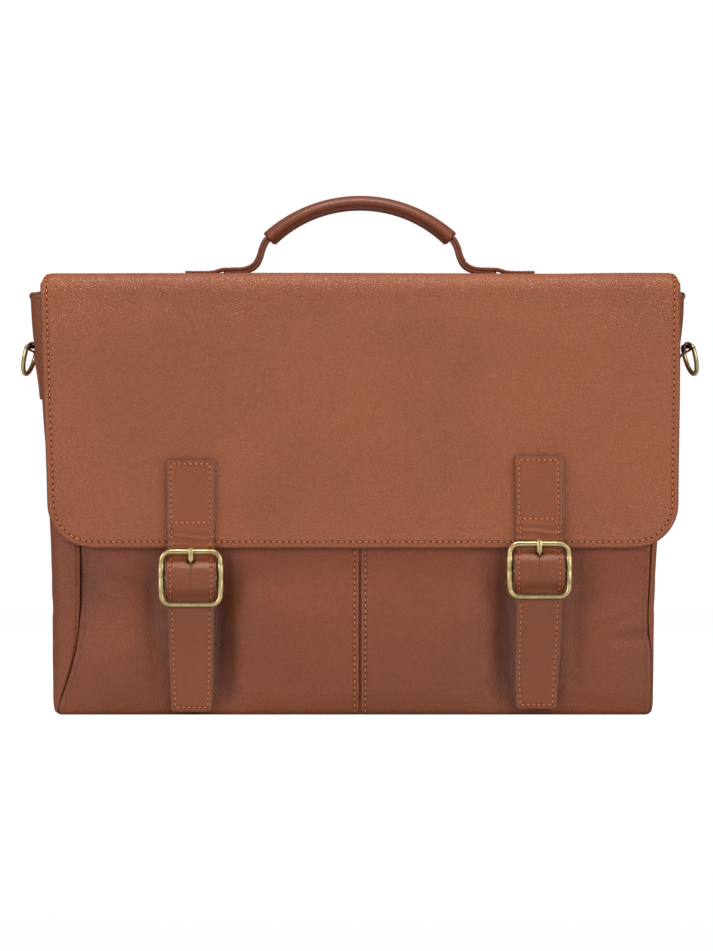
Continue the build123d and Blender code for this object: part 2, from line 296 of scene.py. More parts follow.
def grain_group() -> bpy.types.NodeTree:
    """The pebble of the hide: cells, the creases between them, and pores."""
    group = Group("hide_grain", {"Cell": 620.0, "Crease": 0.5, "Pore": 0.25},
                  {"Height": "NodeSocketFloat", "Valley": "NodeSocketFloat"})
    tree = group.tree
    vector, cell = group.enter.outputs["Vector"], group.enter.outputs["Cell"]
    warp = tree.nodes.new("ShaderNodeVectorMath")
    warp.operation = "MULTIPLY_ADD"
    drift = tree.nodes.new("ShaderNodeTexNoise")
    drift.inputs["Scale"].default_value = 260.0
    group.link(vector, drift.inputs["Vector"])
    group.link(drift.outputs["Color"], warp.inputs[0])
    warp.inputs[1].default_value = (0.0016, 0.0016, 0.0016)
    group.link(vector, warp.inputs[2])
    cells = tree.nodes.new("ShaderNodeTexVoronoi")
    cells.feature = "DISTANCE_TO_EDGE"
    group.link(warp.outputs[0], cells.inputs["Vector"])
    group.link(cell, cells.inputs["Scale"])
    pebble = mapped(tree, cells.outputs["Distance"], 0.0, 0.32)
    pores = noise_node(tree, vector, math_node(tree, "MULTIPLY", cell, 3.1), 3.0)
    folds = noise_node(tree, vector, math_node(tree, "MULTIPLY", cell, 0.33), 3.0)
    height = math_node(tree, "MULTIPLY", pebble, group.enter.outputs["Crease"])
    height = math_node(tree, "ADD", height, math_node(tree, "MULTIPLY", pores, group.enter.outputs["Pore"]))
    height = math_node(tree, "ADD", height, math_node(tree, "MULTIPLY", folds, 0.9))
    group.link(height, group.leave.inputs["Height"])
    group.link(math_node(tree, "SUBTRACT", 1.0, pebble), group.leave.inputs["Valley"])
    return tree


def rim_group() -> bpy.types.NodeTree:
    """Cut edge, stitched channel and the puffed roll between them, from the distance to the edge."""
    group = Group("stitched_rim", {"Channel": 4.0 * MM, "Cut": 0.5 * MM},
                  {"Height": "NodeSocketFloat", "Burnish": "NodeSocketFloat", "Groove": "NodeSocketFloat"})
    tree = group.tree
    rim = tree.nodes.new("ShaderNodeAttribute")
    rim.attribute_name = "rim"
    distance = rim.outputs["Fac"]
    off = math_node(tree, "ABSOLUTE", math_node(tree, "SUBTRACT", distance, group.enter.outputs["Channel"]))
    groove = mapped(tree, off, 0.0, 1.3 * MM, 1.0, 0.0)
    cut = mapped(tree, math_node(tree, "SUBTRACT", distance, group.enter.outputs["Cut"]), 0.0, 0.7 * MM, 1.0, 0.0)
    height = math_node(tree, "SUBTRACT", 1.0, groove)
    height = math_node(tree, "SUBTRACT", height, math_node(tree, "MULTIPLY", cut, 0.6))
    group.link(height, group.leave.inputs["Height"])
    group.link(cut, group.leave.inputs["Burnish"])
    group.link(groove, group.leave.inputs["Groove"])
    return tree


def wear_group() -> bpy.types.NodeTree:
    """Slow patches and fine scuffs that vary colour and gloss."""
    group = Group("patches", {"Size": 14.0}, {"Patch": "NodeSocketFloat", "Scuff": "NodeSocketFloat"})
    tree = group.tree
    vector = group.enter.outputs["Vector"]
    slow = noise_node(tree, vector, group.enter.outputs["Size"], 3.0)
    fine = noise_node(tree, vector, math_node(tree, "MULTIPLY", group.enter.outputs["Size"], 22.0), 4.0)
    group.link(mapped(tree, slow, 0.3, 0.7), group.leave.inputs["Patch"])
    group.link(mapped(tree, fine, 0.45, 0.75), group.leave.inputs["Scuff"])
    return tree


def weave_group() -> bpy.types.NodeTree:
    """A plain woven cloth: two sets of crossing yarns."""
    group = Group("plain_weave", {"Yarns": 1500.0}, {"Height": "NodeSocketFloat", "Tone": "NodeSocketFloat"})
    tree = group.tree
    split = tree.nodes.new("ShaderNodeSeparateXYZ")
    group.link(group.enter.outputs["Vector"], split.inputs[0])
    level = math_node(tree, "ADD", split.outputs[0], split.outputs[1])
    waves = []
    for axis in (level, split.outputs[2]):
        turns = math_node(tree, "MULTIPLY", axis, group.enter.outputs["Yarns"])
        waves.append(math_node(tree, "SINE", math_node(tree, "MULTIPLY", turns, math.pi)))
    height = math_node(tree, "MULTIPLY", waves[0], waves[1])
    group.link(mapped(tree, height, -1.0, 1.0), group.leave.inputs["Height"])
    group.link(noise_node(tree, group.enter.outputs["Vector"], 240.0, 2.0), group.leave.inputs["Tone"])
    return tree


class Groups:
    """The shader groups that the finishes share."""

    def __init__(self) -> None:
        """Builds every group once."""
        self.grain = grain_group()
        self.rim = rim_group()
        self.wear = wear_group()
        self.weave = weave_group()


def place_group(tree: bpy.types.NodeTree, group: bpy.types.NodeTree, **values: float) -> bpy.types.Node:
    """Puts a group in a material on Object coordinates, with its own values."""
    node = tree.nodes.new("ShaderNodeGroup")
    node.node_tree = group
    coordinates = tree.nodes.new("ShaderNodeTexCoord")
    tree.links.new(coordinates.outputs["Object"], node.inputs["Vector"])
    for key, value in values.items():
        node.inputs[key.capitalize()].default_value = value
    return node


def new_material(name: str) -> tuple[bpy.types.Material, bpy.types.NodeTree, bpy.types.Node]:
    """Makes an empty node material and returns it, its tree and its Principled shader."""
    material = bpy.data.materials.new(name)
    material.use_nodes = True
    tree = material.node_tree
    shader = tree.nodes["Principled BSDF"]
    return material, tree, shader


def add_bump(tree: bpy.types.NodeTree, shader: bpy.types.Node, height: bpy.types.NodeSocket,
             distance: float, below: Optional[bpy.types.NodeSocket] = None) -> bpy.types.NodeSocket:
    """Adds a Bump node, on top of an earlier one, and feeds the shader's Normal."""
    bump = tree.nodes.new("ShaderNodeBump")
    bump.inputs["Distance"].default_value = distance
    tree.links.new(height, bump.inputs["Height"])
    if below is not None:
        tree.links.new(below, bump.inputs["Normal"])
    tree.links.new(bump.outputs["Normal"], shader.inputs["Normal"])
    return bump.outputs["Normal"]


@dataclass(frozen=True)
class Leather:
    """A dyed hide: its colours, pebble and gloss, with painted shade mixed in where a piece's 'sunk' attribute
    asks for it.
    """

    name: str
    colour: tuple[float, float, float]
    deep: tuple[float, float, float]
    cell: float = 700.0
    crease: float = 0.7
    relief: float = 0.32 * MM
    roughness: float = 0.36
    shine: float = 0.44
    channel: float = 4.0 * MM
    channel_depth: float = 0.35 * MM

    def dress(self, groups: Groups) -> bpy.types.Material:
        """Builds the material.

        Args:
            groups: The shared shader groups.

        Returns:
            The finished leather.
        """
        material, tree, shader = new_material(self.name)
        grain = place_group(tree, groups.grain, cell=self.cell, crease=self.crease)
        rim = place_group(tree, groups.rim, channel=self.channel)
        # The 'sunk' attribute carries painted shade: it darkens the pocket valleys, and the straps below their
        # buckles, towards deep.
        sunk = tree.nodes.new("ShaderNodeAttribute")
        sunk.attribute_name = "sunk"
        wear = place_group(tree, groups.wear)
        colour = mixed(tree, wear.outputs["Patch"], self.colour, tuple(c * 0.86 for c in self.colour))
        # Each mask darkens the colour towards deep. The grain valleys, the stitch groove and the burnished cut
        # edge are the hide's own tone; sunk is painted shade.
        for mask, strength in ((grain.outputs["Valley"], 0.36), (rim.outputs["Groove"], 0.30),
                               (sunk.outputs["Fac"], 0.78), (rim.outputs["Burnish"], 0.55)):
            colour = mixed(tree, math_node(tree, "MULTIPLY", mask, strength), colour, self.deep)
        tree.links.new(colour, shader.inputs["Base Color"])
        gloss = self.roughness
        for mask, strength in ((grain.outputs["Valley"], 0.16), (wear.outputs["Scuff"], 0.08)):
            gloss = math_node(tree, "ADD", math_node(tree, "MULTIPLY", mask, strength), gloss)
        tree.links.new(gloss, shader.inputs["Roughness"])
        shader.inputs["Specular IOR Level"].default_value = self.shine
        below = add_bump(tree, shader, rim.outputs["Height"], self.channel_depth)
        add_bump(tree, shader, grain.outputs["Height"], self.relief, below)
        return material


@dataclass(frozen=True)
class Cloth:
    """A woven lining or webbing."""

    name: str
    colour: tuple[float, float, float]
    yarns: float = 1500.0

    def dress(self, groups: Groups) -> bpy.types.Material:
        """Builds the cloth from the shared weave."""
        material, tree, shader = new_material(self.name)
        weave = place_group(tree, groups.weave, yarns=self.yarns)
        shade = tuple(c * 0.55 for c in self.colour)
        colour = mixed(tree, weave.outputs["Height"], shade, self.colour)
        colour = mixed(tree, math_node(tree, "MULTIPLY", weave.outputs["Tone"], 0.3), colour, shade)
        tree.links.new(colour, shader.inputs["Base Color"])
        tree.links.new(mapped(tree, weave.outputs["Tone"], 0.2, 0.8, 0.78, 0.92), shader.inputs["Roughness"])
        shader.inputs["Sheen Weight"].default_value = 0.25
        add_bump(tree, shader, weave.outputs["Height"], 0.15 * MM)
        return material


@dataclass(frozen=True)
class Brass:
    """Antique brass: polished high spots over a dark patina."""

    name: str
    bright: tuple[float, float, float] = (0.50, 0.39, 0.19)
    dark: tuple[float, float, float] = (0.15, 0.11, 0.055)
    roughness: float = 0.27

    def dress(self, groups: Groups) -> bpy.types.Material:
        """Builds the metal from the shared patches."""
        material, tree, shader = new_material(self.name)
        wear = place_group(tree, groups.wear, size=160.0)
        colour = mixed(tree, mapped(tree, wear.outputs["Patch"], 0.35, 1.0, 0.0, 0.45), self.bright, self.dark)
        tree.links.new(colour, shader.inputs["Base Color"])
        gloss = math_node(tree, "ADD", math_node(tree, "MULTIPLY", wear.outputs["Patch"], 0.2), self.roughness)
        tree.links.new(gloss, shader.inputs["Roughness"])
        shader.inputs["Metallic"].default_value = 1.0
        add_bump(tree, shader, wear.outputs["Scuff"], 0.012 * MM)
        return material


@dataclass(frozen=True)
class Yarn:
    """A waxed sewing thread with its ply twist."""

    name: str
    colour: tuple[float, float, float]
    twist: float = 2600.0

    def dress(self, groups: Groups) -> bpy.types.Material:
        """Builds the thread."""
        material, tree, shader = new_material(self.name)
        weave = place_group(tree, groups.weave, yarns=self.twist)
        shade = tuple(c * 0.5 for c in self.colour)
        colour = mixed(tree, mapped(tree, weave.outputs["Height"], 0.1, 0.7), shade, self.colour)
        tree.links.new(colour, shader.inputs["Base Color"])
        tree.links.new(mapped(tree, weave.outputs["Tone"], 0.2, 0.8, 0.5, 0.65), shader.inputs["Roughness"])
        add_bump(tree, shader, weave.outputs["Height"], 0.08 * MM)
        return material


class Finishes:
    """Every finish on the bag, built once."""

    def __init__(self) -> None:
        """Builds the groups and the materials."""
        groups = Groups()
        tan, deep = (0.262, 0.062, 0.020), (0.070, 0.016, 0.005)
        # flap_hide and body_hide_painted_shade stand for one leather. body_hide_painted_shade is its darker copy:
        # painted shade on the body's pieces, which face the top light less than the flap does.
        self.flap = Leather("flap_hide", (0.285, 0.070, 0.016), deep).dress(groups)
        self.body = Leather("body_hide_painted_shade", (0.198, 0.040, 0.006), deep, relief=0.26 * MM).dress(groups)
        self.strap = Leather("strap_hide", (0.250, 0.060, 0.013), deep, cell=820.0, crease=0.4,
                             relief=0.15 * MM, channel=2.9 * MM).dress(groups)
        self.handle = Leather("handle_hide", tan, deep, cell=900.0, crease=0.35, relief=0.13 * MM,
                              channel=2.6 * MM).dress(groups)
        # Painted shade: flat near-black discs stand in for the dark inside of each needle hole.
        self.hole = Leather("needle_hole_painted_shade", (0.020, 0.008, 0.004), (0.008, 0.003, 0.002),
                            roughness=0.8).dress(groups)
        self.thread = Yarn("orange_thread", (0.620, 0.170, 0.040)).dress(groups)
        self.lining = Cloth("lining_cloth", (0.085, 0.045, 0.026)).dress(groups)
        self.pad = Cloth("divider_cloth", (0.110, 0.062, 0.036), 1100.0).dress(groups)
        self.brass = Brass("antique_brass").dress(groups)
        self.board = Cloth("grey_board", (0.16, 0.15, 0.14), 2200.0).dress(groups)


# ------------------------------------------------------------------ mesh helpers


def to_object(name: str, mesh: bmesh.types.BMesh, material: bpy.types.Material) -> bpy.types.Object:
    """Turns a bmesh into a smooth object at the origin.

    Args:
        name: The piece's name.
        mesh: The finished bmesh, freed here.
        material: Its finish.

    Returns:
        The new object, linked to the scene.
    """
    data = bpy.data.meshes.new(name)
    mesh.to_mesh(data)
    mesh.free()
    data.materials.append(material)
    data.shade_smooth()
    piece = bpy.data.objects.new(name, data)
    bpy.context.scene.collection.objects.link(piece)
    return piece


def baked(piece: bpy.types.Object) -> bpy.types.Object:
    """Applies a piece's modifiers to its mesh."""
    bpy.context.view_layer.update()
    data = bpy.data.meshes.new_from_object(piece.evaluated_get(bpy.context.evaluated_depsgraph_get()))
    piece.modifiers.clear()
    piece.data = data
    return piece


def rounded(piece: bpy.types.Object, width: float, degrees: float) -> bpy.types.Object:
    """Rounds the edges that are sharper than an angle and applies the piece's modifiers.

    Args:
        piece: The piece.
        width: The bevel's width.
        degrees: The least angle between two faces that counts as an edge.

    Returns:
        The same piece.
    """
    edge = piece.modifiers.new("edge", "BEVEL")
    edge.width = width
    edge.segments = 2
    edge.limit_method = "ANGLE"
    edge.angle_limit = math.radians(degrees)
    return baked(piece)


@dataclass
class Sheet:
    """A cut piece of leather or cloth, laid over a surface.

    The cut is measured flat: shape turns a share across and a share along into flat
    coordinates, and place lays a flat point on the bag. The face looks towards outward.
    """

    name: str
    shape: Callable[[float, float], Flat]
    place: Place
    outward: Vector
    thickness: float
    columns: int
    rows: int
    rim: Optional[Callable[[float, float], float]] = None
    keep: Optional[Callable[[float, float], bool]] = None
    edge_round: float = 0.45 * MM
    sunk: float = 0.0
    # shade gives painted shade from 0 to 1. It is stored in the 'sunk' attribute and darkens the hide's colour.
    shade: Optional[Callable[[float, float], float]] = None

    def point(self, across: float, along: float) -> Vector:
        """The place of a share across and along, sunk below the face if asked."""
        flat = self.shape(across, along)
        where = self.place(*flat)
        return where - self.normal(*flat) * self.sunk if self.sunk else where

    def across_along(self, x: float, s: float) -> Vector:
        """The cross product of the directions across and along at a flat point."""
        step = 0.4 * MM
        run = self.place(x + step, s) - self.place(x - step, s)
        drop = self.place(x, s + step) - self.place(x, s - step)
        return run.cross(drop)

    def normal(self, x: float, s: float) -> Vector:
        """The outward direction of the face at a flat point."""
        direction = self.across_along(x, s).normalized()
        return direction if self.faces_out else -direction

    @cached_property
    def faces_out(self) -> bool:
        """Whether across times along points outwards in the middle of the cut."""
        return self.across_along(*self.shape(0.5, 0.5)).dot(self.outward) > 0

    def build(self, material: bpy.types.Material) -> bpy.types.Object:
        """Cuts, lays, thickens and rounds the piece.

        Args:
            material: Its finish.

        Returns:
            The closed piece.
        """
        mesh = bmesh.new()
        bmesh.ops.create_grid(mesh, x_segments=self.columns, y_segments=self.rows, size=0.5)
        layer = mesh.verts.layers.float.new("rim")
        # The 'sunk' layer stores the painted shade that shade gives.
        dark = mesh.verts.layers.float.new("sunk")
        for vertex in mesh.verts:
            flat = self.shape(vertex.co.x + 0.5, vertex.co.y + 0.5)
            vertex[layer] = self.rim(*flat) if self.rim else 1.0
            vertex[dark] = self.shade(*flat) if self.shade else 0.0
        if self.keep:
            gone = []
            for face in mesh.faces:
                middle = face.calc_center_median()
                if not self.keep(*self.shape(middle.x + 0.5, middle.y + 0.5)):
                    gone.append(face)
            bmesh.ops.delete(mesh, geom=gone, context="FACES")
        for vertex in mesh.verts:
            vertex.co = self.point(vertex.co.x + 0.5, vertex.co.y + 0.5)
        mesh.normal_update()
        mesh.faces.ensure_lookup_table()
        middle = min(mesh.faces, key=lambda f: (f.calc_center_median() - self.point(0.5, 0.5)).length)
        if middle.normal.dot(self.outward) < 0:
            bmesh.ops.reverse_faces(mesh, faces=mesh.faces[:])
        piece = to_object(self.name, mesh, material)
        thick = piece.modifiers.new("thickness", "SOLIDIFY")
        thick.thickness = self.thickness
        thick.offset = -1.0
        return rounded(piece, self.edge_round, 50)


@dataclass
class Seam:
    """A row of lockstitches along a flat line on a sheet."""

    sheet: Sheet
    pitch: float = 3.9 * MM
    share: float = 0.66
    wide: float = 0.38 * MM
    proud: float = 0.30 * MM
    hole: float = 0.56 * MM

    def lay(self, mesh: bmesh.types.BMesh, line: Sequence[Flat]) -> None:
        """Adds the stitches and needle holes of one line to a mesh.

        Args:
            mesh: The thread's bmesh. Its faces get material 0, and the holes' discs of painted shade get 1.
            line: Flat points that the row follows.
        """
        route = Route(line)
        count = max(1, round(route.total / self.pitch))
        pitch = route.total / count
        gap = (1 - self.share) / 2 * pitch
        for index in range(count + 1):
            self.add_hole(mesh, route.at(index * pitch))
            if index < count:
                self.add_stitch(mesh, route.at(index * pitch + gap), route.at((index + 1) * pitch - gap))

    def add_stitch(self, mesh: bmesh.types.BMesh, first: Flat, last: Flat) -> None:
        """Adds one arched length of thread between two flat points."""
        start, end = self.sheet.place(*first), self.sheet.place(*last)
        up = self.sheet.normal((first[0] + last[0]) / 2, (first[1] + last[1]) / 2)
        run = (end - start).normalized()
        side = up.cross(run).normalized()
        axes = Matrix((run, side, run.cross(side))).transposed()
        half = (end - start).length / 2 + 0.2 * MM
        made = bmesh.ops.create_uvsphere(mesh, u_segments=6, v_segments=4, radius=1.0)
        for vertex in made["verts"]:
            x, y, z = vertex.co.z, vertex.co.y, vertex.co.x
            lift = self.proud * (1 - 1.3 * x * x) - 0.05 * MM
            local = Vector((x * half, y * self.wide, z * self.wide * 0.8 + lift))
            vertex.co = (start + end) / 2 + axes @ local

    def add_hole(self, mesh: bmesh.types.BMesh, flat: Flat) -> None:
        """Adds one dark disc at a flat point: painted shade for a needle hole."""
        where, up = self.sheet.place(*flat), self.sheet.normal(*flat)
        turn = up.to_track_quat("Z", "Y").to_matrix().to_4x4()
        place = Matrix.Translation(where + up * 0.06 * MM) @ turn
        made = bmesh.ops.create_circle(mesh, cap_ends=True, segments=7, radius=self.hole, matrix=place)
        for vertex in made["verts"]:
            for face in vertex.link_faces:
                face.material_index = 1


def thread(name: str, rows: Sequence[tuple[Seam, Sequence[Flat]]], finishes: Finishes) -> bpy.types.Object:
    """Sews several rows as one piece of thread.

    Args:
        name: The piece's name.
        rows: Each seam with the flat line that it follows.
        finishes: The finishes of the thread and of the painted shade in its holes.

    Returns:
        The thread.
    """
    mesh = bmesh.new()
    for seam, line in rows:
        seam.lay(mesh, line)
    piece = to_object(name, mesh, finishes.thread)
    piece.data.materials.append(finishes.hole)
    return piece


@dataclass
class Ribbon:
    """A flat strap that follows a line in the XZ plane, with its width along Y."""

    name: str
    line: Sequence[Vector]
    width: float
    thickness: float
    columns: int = 10

    def sheet(self) -> Sheet:
        """The strap as a sheet whose flat coordinates are across Y and along the line."""
        route = Route(self.line)
        total = route.total

        def place(y: float, s: float) -> Vector:
            """The point a distance along the line."""
            x, _, z = route.at(clamp(s, 0.0, total))
            crown = 0.12 * self.thickness * (2 * y / self.width) ** 2
            return Vector((x, y, z - crown))

        def shape(across: float, along: float) -> Flat:
            """A plain strip with rounded ends."""
            reach = min(along, 1 - along) * total
            corner = 3.0 * MM
            inset = corner - math.sqrt(max(corner ** 2 - max(corner - reach, 0.0) ** 2, 0.0))
            return (across - 0.5) * (self.width - 2 * inset), along * total

        def rim(y: float, s: float) -> float:
            """The distance to the strip's edge."""
            return min(self.width / 2 - abs(y), s, total - s)

        return Sheet(self.name, shape, place, Vector((0, 0, 1)), self.thickness, self.columns,
                     max(12, round(total / (1.2 * MM))), rim)


def mirrored(sheet: Sheet) -> Sheet:
    """Moves a sheet to the other side of the bag's middle and returns it."""
    laid = sheet.place

    def place(x: float, s: float) -> Vector:
        """The same point on the other side."""
        where = laid(x, s)
        return Vector((-where.x, where.y, where.z))

    sheet.place = place
    return sheet


class Wire:
    """A round or oval rod bent from straight runs and turns."""

    def __init__(self, section: tuple[float, float], start: Vector, heading: Vector, side: Vector,
                 segments: int = 16) -> None:
        """Starts the rod.

        Args:
            section: Half its width along side, and half its depth across it.
            start: The middle of its first end.
            heading: The direction that it sets out in.
            side: The direction that its turns bend towards.
            segments: How many sides the section has.
        """
        self.mesh = bmesh.new()
        self.where, self.heading, self.side = start.copy(), heading.normalized(), side.normalized()
        made = bmesh.ops.create_circle(self.mesh, segments=segments, radius=1.0)
        across = self.heading.cross(self.side)
        axes = Matrix((self.side * section[0], across * section[1], self.heading)).transposed()
        for vertex in made["verts"]:
            vertex.co = self.where + axes @ vertex.co
        self.front = list({edge for vertex in made["verts"] for edge in vertex.link_edges})

    def straight(self, length: float, steps: int = 1) -> "Wire":
        """Adds a straight run."""
        for _ in range(steps):
            made = bmesh.ops.extrude_edge_only(self.mesh, edges=self.front)["geom"]
            verts = [item for item in made if isinstance(item, bmesh.types.BMVert)]
            bmesh.ops.translate(self.mesh, verts=verts, vec=self.heading * length / steps)
            self.front = [item for item in made if isinstance(item, bmesh.types.BMEdge)]
        self.where += self.heading * length
        return self

    def turn(self, radius: float, angle: float, steps: int) -> "Wire":
        """Adds a bend towards the rod's side."""
        axis = self.heading.cross(self.side)
        centre = self.where + self.side * radius
        made = bmesh.ops.spin(self.mesh, geom=self.front, cent=centre, axis=axis, angle=angle, steps=steps)
        self.front = [item for item in made["geom_last"] if isinstance(item, bmesh.types.BMEdge)]
        rotation = Matrix.Rotation(angle, 3, axis)
        self.where = centre + rotation @ (self.where - centre)
        self.heading, self.side = rotation @ self.heading, rotation @ self.side
        return self

    def closed(self) -> bmesh.types.BMesh:
        """Joins the rod's ends into a ring and returns its mesh."""
        bmesh.ops.remove_doubles(self.mesh, verts=self.mesh.verts[:], dist=0.02 * MM)
        bmesh.ops.recalc_face_normals(self.mesh, faces=self.mesh.faces[:])
        return self.mesh


def strand(name: str, line: Sequence[Vector], section: Flat, across: Vector, material: bpy.types.Material,
           segments: int = 12, grow: Optional[Callable[[float], float]] = None) -> bpy.types.Object:
    """Draws a soft closed rod along a line, such as an edge binding or a stuffed grip.

    Args:
        name: The piece's name.
        line: The points that its middle follows.
        section: Half its size along across, and half its size the other way.
        across: The direction that the section's first half-size lies along.
        material: Its finish.
        segments: How many sides the section has.
        grow: Scales the second half-size by the share along the line.

    Returns:
        The rod, with softly rounded ends.
    """
    mesh = bmesh.new()
    made = bmesh.ops.create_circle(mesh, segments=segments, radius=1.0)
    ring = made["verts"]
    shape = {vertex: vertex.co.copy() for vertex in ring}
    edges = list({edge for vertex in ring for edge in vertex.link_edges})
    first = list(edges)
    for index, where in enumerate(line):
        heading = (line[min(index + 1, len(line) - 1)] - line[max(index - 1, 0)]).normalized()
        other = heading.cross(across).normalized()
        scale = grow(index / (len(line) - 1)) if grow else 1.0
        if index:
            before = ring
            made = bmesh.ops.extrude_edge_only(mesh, edges=edges)["geom"]
            ring = [item for item in made if isinstance(item, bmesh.types.BMVert)]
            edges = [item for item in made if isinstance(item, bmesh.types.BMEdge)]
            kin = {edge.other_vert(vertex): vertex for vertex in ring for edge in vertex.link_edges}
            shape.update({kin[old]: shape[old] for old in before})
        for vertex in ring:
            flat = shape[vertex]
            vertex.co = where + across * flat.x * section[0] + other * flat.y * section[1] * scale
    bmesh.ops.holes_fill(mesh, edges=first + edges)
    bmesh.ops.recalc_face_normals(mesh, faces=mesh.faces[:])
    piece = to_object(name, mesh, material)
    return rounded(piece, 0.28 * min(section), 60)


def turned(name: str, profile: Sequence[Flat], foot: Vector, axis: Vector,
           material: bpy.types.Material, steps: int = 32) -> bpy.types.Object:
    """Turns a closed round part on a lathe.

    Args:
        name: The piece's name.
        profile: (radius, height) pairs in millimetres, from axis to axis.
        foot: The point of height 0 on the axis.
        axis: The direction of rising height.
        material: Its finish.
        steps: How many steps the full turn has.

    Returns:
        The part.
    """
    mesh = bmesh.new()
    verts = [bmesh.ops.create_vert(mesh, co=(r * MM, 0, h * MM))["vert"][0] for r, h in profile]
    edges = []
    for a, b in zip(verts, verts[1:]):
        edges += bmesh.ops.contextual_create(mesh, geom=[a, b])["edges"]
    bmesh.ops.spin(mesh, geom=verts + edges, cent=(0, 0, 0), axis=(0, 0, 1), angle=math.tau, steps=steps,
                   use_merge=True)
    bmesh.ops.remove_doubles(mesh, verts=mesh.verts[:], dist=0.002 * MM)
    bmesh.ops.recalc_face_normals(mesh, faces=mesh.faces[:])
    turn = axis.to_track_quat("Z", "Y").to_matrix().to_4x4()
    bmesh.ops.transform(mesh, matrix=Matrix.Translation(foot) @ turn, verts=mesh.verts[:])
    piece = to_object(name, mesh, material)
    return rounded(piece, 0.15 * MM, 35)


def settle(piece: bpy.types.Object, body: Optional[str] = None,
           bend: Optional[tuple[str, str, Vector, Vector]] = None, nodes: Sequence[str] = ()) -> bpy.types.Object:
    """Parents a finished piece to its body's empty, or bakes its place into its mesh, and hides the CAD nodes
    that it stands for.

    Args:
        piece: The piece.
        body: The body that it rides on.
        bend: Or two bodies with where a bend between them starts and ends; only whether it is given is read, and
            then the piece's place is baked into its mesh.
        nodes: The CAD nodes that it stands for.

    Returns:
        The same piece.
    """
    if bend:
        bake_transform(piece)
    else:
        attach(piece, body)
    if nodes:
        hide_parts(*nodes)
    return piece


# ------------------------------------------------------------------ the flap and the back


